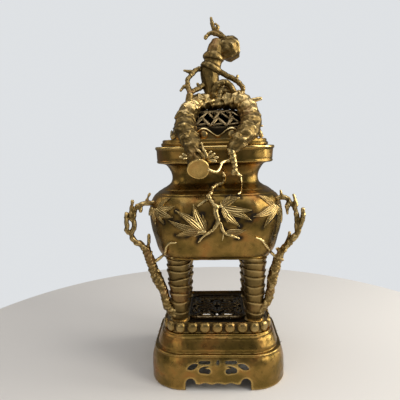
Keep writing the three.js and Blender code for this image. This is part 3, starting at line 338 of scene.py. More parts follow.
def merged(parts):
    """Several (points, faces) pairs as one."""
    points, faces, start = [], [], 0
    for part_points, part_faces in parts:
        points.append(np.asarray(part_points))
        faces.extend([tuple(int(i) + start for i in face) for face in part_faces])
        start += len(part_points)
    return np.vstack(points), faces


# %% [markdown]
# Where a form has holes, a field says how far inside the metal each grid point lies, and the grid is cut
# where that field is zero, so that the edge of a hole is a clean line. The sheet is then given its thickness.

# %% Piercing and thickness
def pierced(points, field, close_columns=True):
    """Cuts a grid of points (rows, columns, 3) where the field is zero, and keeps its positive side."""
    rows, columns = field.shape
    quads = grid_faces(rows, columns, close_columns)
    flat = points.reshape(-1, 3)
    inside = field.ravel()
    kept = [tuple(quad) for quad in quads[(inside[quads] > 0).all(axis=1)]]
    edge = quads[(inside[quads] > 0).any(axis=1) & (inside[quads] <= 0).any(axis=1)]
    extra = []
    crossings = {}

    def crossing(a, b):
        key = (min(a, b), max(a, b))
        if key not in crossings:
            share = inside[key[0]] / (inside[key[0]] - inside[key[1]])
            crossings[key] = len(flat) + len(extra)
            extra.append(flat[key[0]] + share * (flat[key[1]] - flat[key[0]]))
        return crossings[key]

    for quad in edge.tolist():
        for triangle in ((quad[0], quad[1], quad[2]), (quad[0], quad[2], quad[3])):
            corners = []
            for k in range(3):
                a, b = triangle[k], triangle[(k + 1) % 3]
                if inside[a] > 0:
                    corners.append(a)
                if (inside[a] > 0) != (inside[b] > 0):
                    corners.append(crossing(a, b))
            if len(corners) > 2:
                kept.append(tuple(corners))
    everything = np.vstack([flat, extra]) if extra else flat
    used = np.unique(np.concatenate([np.array(face) for face in kept]))
    renumber = np.full(len(everything), -1)
    renumber[used] = np.arange(len(used))
    return everything[used], [tuple(renumber[i] for i in face) for face in kept]


def thick_sheet(name, points, faces, thickness):
    """A sheet of metal, its edges tidied and eased, with its back thickness below its front."""
    mesh = new_mesh(name, points, faces)
    work = bmesh.new()
    work.from_mesh(mesh)
    bmesh.ops.remove_doubles(work, verts=work.verts, dist=0.12 * MM)
    rim = [v for v in work.verts if v.is_boundary]
    for _ in range(2):
        moved = {}
        for vertex in rim:
            others = [e.other_vert(vertex).co for e in vertex.link_edges if e.is_boundary]
            if len(others) == 2:
                moved[vertex] = vertex.co * 0.5 + (others[0] + others[1]) * 0.25
        for vertex, place in moved.items():
            vertex.co = place
    bmesh.ops.dissolve_degenerate(work, edges=work.edges, dist=0.02 * MM)
    work.to_mesh(mesh)
    work.free()
    return evaluated(mesh, name, [("SOLIDIFY", {"thickness": thickness * MM, "offset": -1.0})])


# %% [markdown]
# Nothing cast by hand is even. Soft random waves, summed in several directions and always from the same seed,
# swell and dent a surface by a chosen size. Lips, rims and ribs are beads: a value that is one on a line and
# falls off softly beside it.

# %% Uneven metal and beads
WAVES = 12


def ripple(points, size, seed):
    """Smooth random waves at points, about size millimetres long and mostly between -2 and 2."""
    draw = np.random.default_rng(seed)
    total = np.zeros(points.shape[:-1])
    for _ in range(WAVES):
        direction = draw.normal(size=3)
        direction *= 2 * math.pi / (size * draw.uniform(0.7, 1.4) * np.linalg.norm(direction))
        total += np.sin(points @ direction + draw.uniform(0, 2 * math.pi))
    return total / math.sqrt(WAVES / 2)


def bead(value, at, wide):
    """One where the value is at a level, falling off to nothing over about twice wide on both sides."""
    return np.exp(-(((value - at) / wide) ** 2))


# %% [markdown]
# ## Rounded-rectangle castings
#
# The stand, the vessel and the lid share one plan: a rectangle with large round corners that shrinks evenly.
# A place on it is given by how far round it lies. Ten units go once round, starting at the front's middle.

# %% The shared plan
def ring(half, widest, corner):
    """Half width, half depth and corner radius of a level, when its widest level has the given corner."""
    half = np.asarray(half, dtype=float)
    return half, half - DEPTH_LESS, np.maximum(corner - (widest - half), 1.0)


def on_ring(level, along):
    """Places and outward directions, at each unit along a level."""
    half_x, half_y, r = level
    turn = np.mod(along, 10)
    t = np.where(turn > 5, 10 - turn, turn)
    side = np.where(turn > 5, -1.0, 1.0)
    flat_x = half_x - r
    flat_y = half_y - r
    angle = np.select([t <= 1, t <= 2, t <= 3, t <= 4], [0 * t, t - 1, 1 + 0 * t, t - 2], 2.0) * math.pi / 2
    x = np.select([t <= 1, t <= 4], [flat_x * t, flat_x + 0 * t], flat_x * (5 - t))
    y = np.select([t <= 2, t <= 3], [-flat_y + 0 * t, flat_y * (2 * t - 5)], flat_y + 0 * t)
    out_x = side * np.sin(angle)
    out_y = -np.cos(angle)
    return side * x + out_x * r, y + out_y * r, out_x, out_y


def half_girth_knots(level):
    """Distances from the front's middle to the end of each stretch, up to the rear's middle."""
    half_x, half_y, r = level
    arc = r * math.pi / 2
    return np.concatenate([[0], np.cumsum([half_x - r, arc, 2 * (half_y - r), arc, half_x - r])])


def along_at(level, distance):
    """The unit along a level at a signed distance from the front's middle."""
    knots = half_girth_knots(level)
    wrapped = np.mod(np.asarray(distance, dtype=float) + knots[-1], 2 * knots[-1]) - knots[-1]
    return np.sign(wrapped) * np.interp(np.abs(wrapped), knots, np.arange(6))


def outside_rounded(x, y, half_x, half_y, corner):
    """Distance outside a rounded rectangle round the middle, less than zero inside."""
    dx = np.abs(x) - (half_x - corner)
    dy = np.abs(y) - (half_y - corner)
    return np.hypot(np.maximum(dx, 0), np.maximum(dy, 0)) + np.minimum(np.maximum(dx, dy), 0) - corner


def even_units(level, count):
    """Evenly spaced units once round a level."""
    girth = 2 * half_girth_knots(level)[-1]
    return along_at(level, girth * np.arange(count) / count)


# %% [markdown]
# A founder draws a profile with a few points and a springy lath. Here a curve does the same: it passes
# through the points that are given and is then divided evenly. A profile run round the plan gives a grid.

# %% Smooth profiles round the plan
def smooth_path(rows, step):
    """A centripetal Catmull-Rom curve through rows of numbers, the first three a place, at even steps."""
    rows = np.asarray(rows, dtype=float)
    whole = np.vstack([2 * rows[0] - rows[1], rows, 2 * rows[-1] - rows[-2]])
    gaps = np.sqrt(np.linalg.norm(np.diff(whole[:, :3], axis=0), axis=1)) + 1e-6
    spans = []
    share = np.linspace(0, 1, 16, endpoint=False)[:, None]
    for i in range(1, len(whole) - 2):
        p0, p1, p2, p3 = whole[i - 1:i + 3]
        a, b, c = gaps[i - 1:i + 2]
        leave = (p2 - p1) + b * ((p1 - p0) / a - (p2 - p0) / (a + b))
        arrive = (p2 - p1) + b * ((p3 - p2) / c - (p3 - p1) / (b + c))
        spans.append((2 * share**3 - 3 * share**2 + 1) * p1 + (share**3 - 2 * share**2 + share) * leave
                     + (3 * share**2 - 2 * share**3) * p2 + (share**3 - share**2) * arrive)
    curve = np.vstack(spans + [rows[-1:]])
    length = np.concatenate([[0], np.cumsum(np.linalg.norm(np.diff(curve[:, :3], axis=0), axis=1))])
    count = max(int(round(length[-1] / step)), 2) + 1
    even = np.linspace(0, length[-1], count)
    return np.stack([np.interp(even, length, curve[:, k]) for k in range(curve.shape[1])], axis=1)


def profile_curve(points, step):
    """A smooth profile of (half, level) at even steps."""
    rows = [(half, z, 0) for half, z in points]
    return smooth_path(rows, step)[:, :2]


def ringed_grid(profile, units, widest, corner):
    """Points of a grid with one row for each (half, level) of a profile, and the outward slope at each."""
    profile = np.asarray(profile)
    level = ring(profile[:, 0][:, None], widest, corner)
    x, y, out_x, out_y = on_ring(level, np.asarray(units)[None, :])
    z = np.repeat(profile[:, 1][:, None], len(units), axis=1)
    run = np.gradient(profile, axis=0)
    run /= np.maximum(np.linalg.norm(run, axis=1), 1e-9)[:, None]
    flat, rise = run[:, 1][:, None], -run[:, 0][:, None]
    return np.stack([x, y, z], axis=2), np.stack([out_x * flat, out_y * flat, rise + 0 * x], axis=2)


# %% [markdown]
# ## The stand
#
# The stand is one hollow casting: a convex lower tier whose apron is pierced, a smaller convex tier, and a
# neck that the petals hide. On each side the apron has slots, pointed leaves, a small eye in the middle and a
# wavy gap between the feet. Each is a distance, and the nearest of them decides where metal is.

# %% Fields of the apron's holes
STAND_CORNER = 46.0
flat_front = stand_half - STAND_CORNER
flat_side = flat_front - DEPTH_LESS


def turned_to(x, z, at_x, at_z, tilt):
    """Places measured from a point, along and across a direction that is turned up by tilt."""
    return ((x - at_x) * math.cos(tilt) + (z - at_z) * math.sin(tilt),
            (z - at_z) * math.cos(tilt) - (x - at_x) * math.sin(tilt))


def outside_slot(x, z, at_x, at_z, half_length, half_height, tilt):
    """Distance outside a slot with round ends, whose far end is turned up by tilt."""
    dx, dz = turned_to(x, z, at_x, at_z, tilt)
    reach = half_length - half_height
    return np.hypot(np.maximum(np.abs(dx) - reach, 0), dz) - half_height


def outside_leaf(x, z, at_x, at_z, half_length, half_height, tilt):
    """Distance outside a pointed leaf."""
    dx, dz = turned_to(x, z, at_x, at_z, tilt)
    bow = (half_length**2 - half_height**2) / (2 * half_height)
    return np.hypot(dx, np.abs(dz) + bow) - (bow + half_height)


def apron_field(across, z, flat):
    """Distance from the nearest edge of the apron's piercing, positive in the metal."""
    k = flat / 44.5
    x = np.abs(across)
    holes = [
        outside_slot(x, z, 17 * k, 37.2, 7.8 * k, 1.9, 0.0),
        outside_slot(x, z, 17 * k, 26.6, 7.6 * k, 3.3, 0.1),
        outside_leaf(x, z, 32.5 * k, 32, 8 * k, 3.4, -0.38),
        np.hypot(x, (z - 37) * 0.8) - 2.3,
        outside_leaf(x, z, 17 * k, 31.6, 6.5 * k, 1.0, -0.2),
    ]
    gap_half = flat - 2.5
    notch = (np.hypot((x - gap_half + 6.5 * k) / (6.5 * k), (z - 10) / 7) - 1) * 6.5
    wave = 0.9 * np.cos(x / gap_half * 5 * math.pi)
    foot_gap = np.maximum(x - gap_half, z - 9.6 - wave)
    return np.minimum.reduce([*holes, notch, foot_gap])


# %% [markdown]
# The wall is modelled as a sheet: the profile is run round the plan, the holes are cut by the field, and the
# sheet is then given its thickness. Each hole has the raised lip of a wax edge that was rolled back, which
# the same field raises. Where the stand faces inwards, behind the apron, it gets a darker colour as painted
# shade.

# %% The stand's casting
STAND_WALL = 3.4
APRON_TOP = 45  # the holes lie below this level
TIERS_TOP = 67  # above it the casting is plain, because the petals hide it
stand_profile = [(stand_half - inset, level) for inset, level in (
    (2.4, 0.0), (1.0, 1.6), (0.7, 8), (0.4, 17), (0.8, 25), (1.6, 32), (3.4, 38.5), (4.6, 41.2), (5.0, 42.4),
    (4.4, 43.4), (4.9, 44.9), (6.6, 45.8), (8.8, 45.9), (9.6, 46.6), (9.7, 48.2), (9.6, 50.2), (10.6, 53.4),
    (12.0, 57.2), (13.6, 61), (14.6, 62.4), (14.9, 63.6), (16.2, 64.4), (17.4, 65.4), (17.9, 67.4),
    (19.4, 68.0), (21.3, 68.2), (21.4, 72), (21.4, 79.4))]


def stand_casting():
    profile = profile_curve(stand_profile, 0.95)
    units = even_units(ring(stand_half, stand_half, STAND_CORNER), 560)
    points, normals = ringed_grid(profile, units, stand_half, STAND_CORNER)
    round_from_front = np.abs(units)
    facing_front = (round_from_front <= 1) | (round_from_front >= 4)
    facing_side = (round_from_front >= 2) & (round_from_front <= 3)
    low = points[..., 2] < APRON_TOP
    front = apron_field(points[..., 0], points[..., 2], flat_front)
    side = apron_field(points[..., 1], points[..., 2], flat_side)
    metal = np.full(low.shape, 99.0)
    metal = np.where(low & facing_front[None, :], front, metal)
    metal = np.where(low & facing_side[None, :], side, metal)
    lip = 0.4 * bead(metal, 1.1, 0.9)
    uneven = 0.1 * ripple(points, 17, 3) + 0.04 * ripple(points, 6, 4)
    points = points + normals * (lip + uneven * (points[..., 2] < TIERS_TOP))[..., None]
    points[..., 0] = points[..., 0].clip(-stand_half, stand_half)
    points[..., 1] = points[..., 1].clip(-stand_deep, stand_deep)
    points[0, :, 2] = 0.0
    points, faces = pierced(points, metal)
    return thick_sheet("stand_casting", points, faces, STAND_WALL)


STAND_WEAR = {"fine_mm": 1.3, "broad_mm": 2.4, "broad_rounds": 30, "soft_rounds": 4, "even": 0.53}
stand_mesh = stand_casting()
place_piece("stand_casting", stand_mesh, "censer", "cast_bronze", "stand_shell", wear=STAND_WEAR,
            shade=painted_inner_shade(stand_mesh))

# %% [markdown]
# The deck closes the stand's neck. It is a separate skin here because it is nearly black: no cloth reaches
# between the legs. It has a hole, and the pierced panel lies in it on a ledge.

# %% The deck
DECK_CORNER = STAND_CORNER - (stand_half - band_high[0])
panel_low, panel_high = box_mm("stand_panel")
panel_half = panel_high[0]
panel_deep = panel_high[1]
PANEL_CORNER = 15.0
DECK_INSET = 4.1  # how far the deck's edge lies inside the petal band's face
DECK_THICK = 3.5
HOLE_LEDGE = 3.2  # how far the deck reaches under the panel's edge


def outside_panel(x, y, grow=0.0, corner=PANEL_CORNER):
    """Distance outside the panel's rounded rectangle."""
    return outside_rounded(x, y, panel_half + grow, panel_deep + grow, corner)


def deck_plate():
    across = np.arange(-70, 70.5, 1.0)
    x, y = np.meshgrid(across, across)
    inside = -outside_rounded(x, y, band_high[0] - DECK_INSET, band_high[1] - DECK_INSET, DECK_CORNER)
    hole = outside_panel(x, y, -HOLE_LEDGE, 12)
    points = np.stack([x, y, deck_top - 0.2 + 0 * x], axis=2)
    points[..., 2] += 0.08 * ripple(points, 14, 31)
    points, faces = pierced(points, np.minimum(inside, hole), close_columns=False)
    return thick_sheet("deck_plate", points, faces, DECK_THICK)


place_piece("deck_plate", deck_plate(), "censer", "dark_bronze")

# %% [markdown]
# The panel in the deck is openwork of scrolling stems with leaf lobes, inside a moulded frame. The scrolls
# are spirals that mirror each other. Each stem is a curve with a width, and the metal's field is simply how
# far a point lies inside the nearest stem.

# %% Scrolls and lobes
def inside_stem(x, y, path, wide, thin):
    """Distance inside a stem that runs along a path and tapers from wide to thin half widths."""
    best = np.full(x.shape, -99.0)
    count = len(path) - 1
    for i in range(count):
        (ax, ay), (bx, by) = path[i], path[i + 1]
        lx, ly = bx - ax, by - ay
        share = np.clip(((x - ax) * lx + (y - ay) * ly) / (lx * lx + ly * ly), 0, 1)
        away = np.hypot(x - ax - share * lx, y - ay - share * ly)
        best = np.maximum(best, wide + (thin - wide) * (i + share) / count - away)
    return best


SQUEEZE = 0.8  # how much shallower than wide the scrolls are


def spiral(at_x, at_y, start_radius, end_radius, start_turn, turns):
    """Points of a spiral that winds in, squeezed in depth."""
    share = np.linspace(0, 1, 26)
    radius = start_radius + (end_radius - start_radius) * share**0.8
    angle = 2 * math.pi * (start_turn + turns * share)
    return list(zip(at_x + radius * np.cos(angle), at_y + SQUEEZE * radius * np.sin(angle)))


def scroll_field(x, y):
    """Distance inside the scrolls. They mirror left to right, and swing the other way in the far half."""
    u = np.abs(x)
    metal = np.full(x.shape, -99.0)
    for away, flip in ((y + 19, 1), (19 - y, -1)):
        stems = [
            (spiral(17, 0, 15, 3, 0.5, -1.35), 2.4, 1.5),
            ([(2, -16), (9, -17), (20, -17), (31, -13), (36, -4)], 2.1, 1.8),
            ([(4, 4), (3, 12), (8, 17), (17, 16), (26, 18)], 2.2, 1.7),
            ([(31, -13), (30, -3), (34, 8), (29, 16)], 2.0, 1.5),
        ]
        lobes = [(8, -9, 5, 0.9), (27, -7, 5.5, 2.2), (10, 9, 5, 2.6), (26, 8, 6, 0.6), (36, 13, 4.5, 1.4),
                 (36, -14, 4, 2.6), (17, 1, 3.5, 0.4), (1, 1, 5, 1.57)]
        for path, wide, thin in stems:
            metal = np.maximum(metal, inside_stem(u, away, path, wide, thin))
        for at_x, at_y, long, turn in lobes:
            metal = np.maximum(metal, -outside_leaf(u, away, at_x, at_y, long, 0.42 * long, flip * turn))
    return metal


# %% [markdown]
# The same field crowns the stems, so that they are half round, and two beads run round the frame.

# %% The scroll panel
FRAME_WIDE = 4.6


def scroll_panel():
    step = 0.55
    x, y = np.meshgrid(np.arange(-panel_half, panel_half + step, step),
                       np.arange(-panel_deep, panel_deep + step, step))
    inside = -outside_panel(x, y)
    frame_metal = FRAME_WIDE - inside
    metal = np.maximum(scroll_field(x, y), frame_metal)
    crown_height = 1.1 * (1 - np.exp(-np.maximum(metal, 0) / 0.9))
    beads = 1.5 * bead(inside, 1.7, 0.9) + 0.9 * bead(inside, 4.3, 0.5)
    base = panel_low[2] + 1.3
    height = np.where(inside < 5.2, base + 0.6 + beads, base + crown_height)
    points = np.stack([x, y, height], axis=2)
    points[..., 2] += 0.12 * ripple(points, 4, 41)
    points, faces = pierced(points, np.minimum(metal, inside - 0.05), close_columns=False)
    return thick_sheet("scroll_panel", points, faces, 1.6)


place_piece("scroll_panel", scroll_panel(), "censer", "dark_bronze", "stand_panel",
            wear={"fine_mm": 0.4, "broad_mm": 1.2, "broad_rounds": 8, "soft_rounds": 2})

# %% [markdown]
# ## The petals
#
# Thirty petals stand round the neck. Each is a round boss of metal in a recessed band under a rolled lip.
# They are the brightest part of the stand, because they stand out furthest and are dusted most, while dirt
# stays in the recess round them. A closed profile is run round the plan, and the bosses are raised on it.

# %% The petal band
PETALS = 30
BAND_THICK = 3.6
PETAL_STEPS = 20
BOSS_HALF = 0.43  # half width of a petal's boss, as a share of the spacing
BOSS_RAISED = 3.6
PETAL_WEAR = {"fine_mm": 0.6, "broad_mm": 1.8, "broad_rounds": 60, "even": 0.42, "soft_rounds": 3}
BAND_FACE = [
    (0, -3.2, 0.0), (0, -3.4, 0.15), (0, -3.4, 0.3), (0, -3.4, 0.5), (0, -3.4, 0.7), (0, -3.4, 0.85),
    (0, -3.2, 0.94), (0, -2.8, 0.99), (1, 0.6, 1.0), (1, 0.2, 0.97), (1, 0.0, 0.5), (1, 0.0, 0.0)]


def petal_band():
    height = band_high[2] - band_low[2]
    rows = np.array([(band_high[0] - inner * BAND_THICK + out, band_low[2] + rise * height, 1 - inner, rise)
                     for inner, out, rise in BAND_FACE])
    rows = smooth_path(np.vstack([rows, rows[:1]]), 0.6)[:-1]
    level = ring(band_high[0], band_high[0], DECK_CORNER)
    units = even_units(level, PETALS * PETAL_STEPS)
    points = ringed_grid(rows[:, :2], units, band_high[0], DECK_CORNER)[0]
    share = np.mod(np.arange(len(units)) / PETAL_STEPS + 0.5, 1) - 0.5
    across, along = share[None, :] / BOSS_HALF, (rows[:, 3][:, None] - 0.47) / 0.47
    reach = np.abs(across) ** 2.5 + np.abs(along) ** 2.5
    boss = BOSS_RAISED * np.sqrt(np.maximum(1 - reach, 0)) * (rows[:, 2] > 0.9)[:, None]
    out_x, out_y = on_ring(level, units)[2:]
    points = points + np.stack([out_x[None, :] * boss, out_y[None, :] * boss, 0 * boss], axis=2)
    return new_mesh("petal_ring", points.reshape(-1, 3), grid_faces(len(rows), len(units), True, True))


place_piece("petal_ring", petal_band(), "censer", "bright_bronze", "petal_band", wear=PETAL_WEAR)

# %% [markdown]
# ## Roots, branches and trunks
#
# The burner's handles, legs, arch and finial are roots and bamboo, and every one was modelled in wax over a
# core: a tapered roll, ringed with a knife, with pellets pressed on where a shoot was cut off. So each starts
# as a tube swept through a few places with their radii, and a relief adds to the radius by length and angle.

# %% Capping and turning
def capped(rings):
    """Points and faces of a stack of rings, closed with a fan at both ends."""
    rows, columns = rings.shape[:2]
    points = np.vstack([rings.reshape(-1, 3), rings[0].mean(axis=0)[None], rings[-1].mean(axis=0)[None]])
    faces = [tuple(quad) for quad in grid_faces(rows, columns)]
    for k in range(columns):
        after = (k + 1) % columns
        faces.append((rows * columns, after, k))
        faces.append((rows * columns + 1, (rows - 1) * columns + k, (rows - 1) * columns + after))
    return points, faces


def turned(start, end, profile, around=48, relief=None):
    """A closed shape turned about the line from start to end, through (distance, radius) pairs."""
    start = np.asarray(start, dtype=float)
    way = np.asarray(end, dtype=float) - start
    way /= np.linalg.norm(way)
    side = np.cross(way, [0.3, 1.0, 0.2])
    side /= np.linalg.norm(side)
    across = np.cross(way, side)
    profile = np.asarray(profile, dtype=float)
    angle = (np.arange(around) * 2 * math.pi / around)[None, :]
    reach = profile[:, 1][:, None] + 0 * angle
    if relief:
        reach = reach + relief(profile[:, 0][:, None], angle, reach)
    rings = (start + profile[:, 0][:, None] * way)[:, None] + reach[..., None] * (
        np.cos(angle)[..., None] * side + np.sin(angle)[..., None] * across)
    return capped(rings)


# %% [markdown]
# The tube follows a smooth path. A direction across it is carried along from ring to ring, so that the rings
# never twist, and the ends are rounded in four steps or left flat, as if sawn.

# %% Sweeping a tube
def swept(rows, relief=None, step=0.7, around=24, round_ends=(True, True)):
    """A closed tube through rows of (x, y, z, radius), with round or sawn ends."""
    path = smooth_path(rows, step)
    run = np.gradient(path[:, :3], axis=0)
    run /= np.linalg.norm(run, axis=1)[:, None]
    lean = np.array([0.3, 1.0, 0.2])
    side = np.empty_like(run)
    for i, way in enumerate(run):
        lean = lean - way * (lean @ way)
        lean /= np.linalg.norm(lean)
        side[i] = lean
    radius = path[:, 3][:, None]
    angle = (np.arange(around) * 2 * math.pi / around)[None, :]
    reach = radius + 0 * angle
    if relief:
        reach = reach + relief(step * np.arange(len(path))[:, None], angle, radius)
    centres, ways, sides, reaches = [path[:, :3]], [run], [side], [np.maximum(reach, 0.25)]
    for end, sign in ((0, -1), (-1, 1)):
        if not round_ends[end]:
            continue
        bend = np.array([0.3, 0.6, 0.85, 0.97])
        bend = bend if sign > 0 else bend[::-1]
        push = sign * 0.7 * path[end, 3] * np.sin(bend * math.pi / 2)
        extra = (path[end, :3] + push[:, None] * run[end], np.tile(run[end], (4, 1)),
                 np.tile(side[end], (4, 1)),
                 np.cos(bend * math.pi / 2)[:, None] * reaches[0 if sign < 0 else -1][end][None, :])
        for store, rows_added in zip((centres, ways, sides, reaches), extra):
            store.insert(0 if sign < 0 else len(store), rows_added)
    centre, way, side, reach = (np.vstack(store) for store in (centres, ways, sides, reaches))
    across = np.cross(way, side)
    rings = centre[:, None] + reach[..., None] * (
        np.cos(angle)[..., None] * side[:, None] + np.sin(angle)[..., None] * across[:, None])
    return capped(rings)


# %% [markdown]
# Sheaths are what makes it bamboo root: each one flares towards its upper edge and drops back to the next.
# Their edges are tilted at random.

# %% Sheaths
def sheaths(total, spacing, flare, seed, tilt=0.25, waves=0.0, rim=0.3):
    """A relief of overlapping sheaths about spacing long, each flaring by flare millimetres."""
    draw = np.random.default_rng(seed)
    count = max(int(round(total / spacing)), 1)
    edges = np.linspace(0, total, count + 1) + spacing * draw.uniform(-0.18, 0.18, count + 1)
    edges[0] = -3 * spacing
    edges[-1] = total + 3 * spacing
    tilts = draw.uniform(-tilt, tilt, count + 1)
    turns = draw.uniform(0, 2 * math.pi, count + 1)
    sizes = draw.uniform(0.75, 1.25, count)

    def relief(length, angle, radius):
        def edge(i):
            wavy = waves * np.sin(5 * angle + 3 * turns[i]) * spacing * 0.2
            return edges[i] + tilts[i] * radius * np.cos(angle - turns[i]) + wavy

        swell = np.zeros(np.broadcast(length, angle).shape)
        for i in range(count):
            share = (length - edge(i)) / (edge(i + 1) - edge(i))
            inside = (share >= 0) & (share < 1)
            flared = share.clip(0, 1) ** 1.8 + rim * bead(share, 0.92, 0.08)
            swell = np.where(inside, flare * sizes[i] * flared, swell)
        return swell

    return relief


# %% [markdown]
# Knots are pellets of wax. The whole is fused into one skin, as the wax was, before a slight unevenness is
# added, and it is pressed off the pieces that it must not touch.

# %% Knots and fusing
def knot(place, radius, way):
    """A pellet of wax, flattened along a direction."""
    reach = radius * 0.8
    turns = np.linspace(0.15, math.pi - 0.15, 7)
    profile = [(reach * (1 - math.cos(turn)), radius * math.sin(turn)) for turn in turns]
    start = place - way / np.linalg.norm(way) * reach
    return turned(start, start + way, profile, 10)


def knots_along(rows, count, size, seed, away=0.75):
    """Knots pressed on at random round a tube's rows."""
    draw = np.random.default_rng(seed)
    path = smooth_path(rows, 1.0)
    pellets = []
    for i in draw.integers(2, len(path) - 2, count):
        way = draw.normal(size=3)
        run = path[i + 1, :3] - path[i - 1, :3]
        way -= run * (way @ run) / (run @ run)
        way /= np.linalg.norm(way)
        radius = size * draw.uniform(0.7, 1.3)
        pellets.append(knot(path[i, :3] + way * path[i, 3] * away, radius, way))
    return pellets


def fused(name, parts, voxel=0.7, uneven=0.25, grain=0.03, seed=1, keep_off=(), ease=2):
    """Closed parts melted into one skin, then made slightly uneven and pressed off its neighbours."""
    points, faces = merged(parts)
    melt = ("REMESH", {"mode": "VOXEL", "voxel_size": voxel * MM})
    soften = ("SMOOTH", {"factor": 0.5, "iterations": ease})
    mesh = evaluated(new_mesh(name, points, faces), name, [melt, soften])
    places, normals = places_and_normals(mesh)
    lift = uneven * ripple(places, 9, seed) + grain * ripple(places, 2.6, seed + 1)
    places += lift[:, None] * normals
    for press in keep_off:
        places = press(places)
    mesh.vertices.foreach_set("co", ((places + middle) * MM).ravel())
    mesh.update()
    return mesh


# %% [markdown]
# ## The legs
#
# Four roots hold the vessel up. Nine sheaths flare upwards on each, and their edges are the brightest thing
# under the vessel. Each leg has a threaded stud cast in its foot that passes through the deck into a nut.

# %% A leg's sheaths
leg_top = vessel_bottom + 4.5
STUD_RADIUS = 3.4
THREAD_STEP = 0.35  # half of the thread's pitch
THREAD_DEEP = 0.25
stud_end = box_mm("leg_front_right")[0][2]
LEG_FOOT = deck_top + 0.3
leg_rings = [0.02, 0.16, 0.3, 0.43, 0.55, 0.66, 0.77, 0.87, 0.96]
LEG_WEAR = {"fine_mm": 0.6, "broad_mm": 1.5, "broad_rounds": 40, "even": 0.42, "soft_rounds": 4}


def leg_radius(share):
    return 12.0 + 4.6 * share**1.3


def leg_relief(seed):
    """Sheaths whose edges lie near the CAD leg's rings, each tilted its own way."""
    draw = np.random.default_rng(seed)
    tall = leg_top - LEG_FOOT
    edges = np.array([-0.2, *leg_rings, 1.2]) * tall
    edges = edges + tall * draw.uniform(-0.012, 0.012, len(edges))
    tilts = draw.uniform(0.04, 0.15, len(edges))
    turns = draw.uniform(0, 2 * math.pi, len(edges))
    folds = draw.uniform(0, 2 * math.pi, len(edges))
    sizes = draw.uniform(0.7, 1.3, len(edges))

    def relief(length, angle, radius):
        swell = np.zeros(np.broadcast(length, angle).shape)
        for i in range(len(edges) - 1):
            low, high = (edges[k] + tilts[k] * radius * np.cos(angle - turns[k])
                         + 0.5 * np.sin(3 * angle + folds[k]) for k in (i, i + 1))
            share = (length - low) / (high - low)
            flared = 1.9 * share.clip(0, 1) ** 1.3 + 0.4 * bead(share, 0.84, 0.12) - 1.2
            swell = np.where((share >= 0) & (share < 1), sizes[i] * flared, swell)
        return swell + 0.2 * np.sin(3 * angle + 0.13 * length) + 0.05 * np.sin(17 * angle + 0.1 * length)

    return relief


# %% [markdown]
# The relief goes round a plain tapered tube, the stud is turned below it, and the two are one casting.

# %% The legs' castings
def leg(corner, side_x, side_y, seed):
    name = f"leg_{corner}"
    x, y = side_x * leg_x, side_y * leg_y
    heights = np.linspace(0, 1, 12)
    rows = [(x, y, LEG_FOOT + share * (leg_top - LEG_FOOT), leg_radius(share)) for share in heights]
    body = swept(rows, leg_relief(seed), 0.5, 72, (False, False))
    turns = int((LEG_FOOT - stud_end) / THREAD_STEP)
    thread = [(THREAD_STEP * i, STUD_RADIUS - THREAD_DEEP * (i % 2)) for i in range(turns)]
    stud = turned((x, y, stud_end), (x, y, LEG_FOOT), [(0, STUD_RADIUS - 0.8)] + thread[1:], 24)
    points, faces = merged([body, stud])
    piece = f"root_{name}"
    place_piece(piece, new_mesh(piece, points, faces), "censer", "bark_bronze", name, wear=LEG_WEAR)


LEGS = (("front_left", -1, -1), ("front_right", 1, -1), ("rear_left", -1, 1), ("rear_right", 1, 1))
for count, (corner, side_x, side_y) in enumerate(LEGS):
    leg(corner, side_x, side_y, 50 + count)

# %% [markdown]
# The nuts are the only pieces that aren't cast. Their corners are chamfered by a cone, which leaves the
# rounded flats that every real nut shows.

# %% Nuts
def hexagon_nut(name, body, bore):
    low, high = box_mm(name)
    middle_x, middle_y = (low[0] + high[0]) / 2, (low[1] + high[1]) / 2
    across = high[1] - low[1]
    tall = high[2] - low[2]
    rim = across / math.sqrt(3)
    profile = [(0, bore + 0.5), (0, across / 2 - 0.2), (0.7, rim), (tall - 0.7, rim),
               (tall, across / 2 - 0.2), (tall, bore + 0.5), (tall - 0.5, bore), (0.5, bore)]
    angle = np.arange(72) * 2 * math.pi / 72
    hexagon = (across / 2) / np.cos(np.mod(angle + math.pi / 6, math.pi / 3) - math.pi / 6)
    rings = []
    for height, radius in profile:
        reach = np.minimum(radius, hexagon)
        turn = angle + math.pi / 2
        rings.append(np.stack([middle_x + reach * np.cos(turn), middle_y + reach * np.sin(turn),
                               low[2] + height + 0 * angle], axis=1))
    piece = f"turned_{name}"
    mesh = new_mesh(piece, np.concatenate(rings), grid_faces(len(rings), 72, True, True))
    place_piece(piece, mesh, body, "nut_brass", name, sharp=25)


for corner, *_ in LEGS:
    hexagon_nut(f"leg_nut_{corner}", "censer", STUD_RADIUS + 0.1)
hexagon_nut("arch_nut", "lid", STUD_RADIUS + 0.1)

# %% [markdown]
# ## The vessel
#
# The bowl swells from a small foot to a broad belly, steps in over two thin mouldings at the shoulder and
# draws in to a neck under an upright collar. Its front carries leaves and a vine that were chased from wax
# laid on the wax bowl, so they rise from it without a joint.

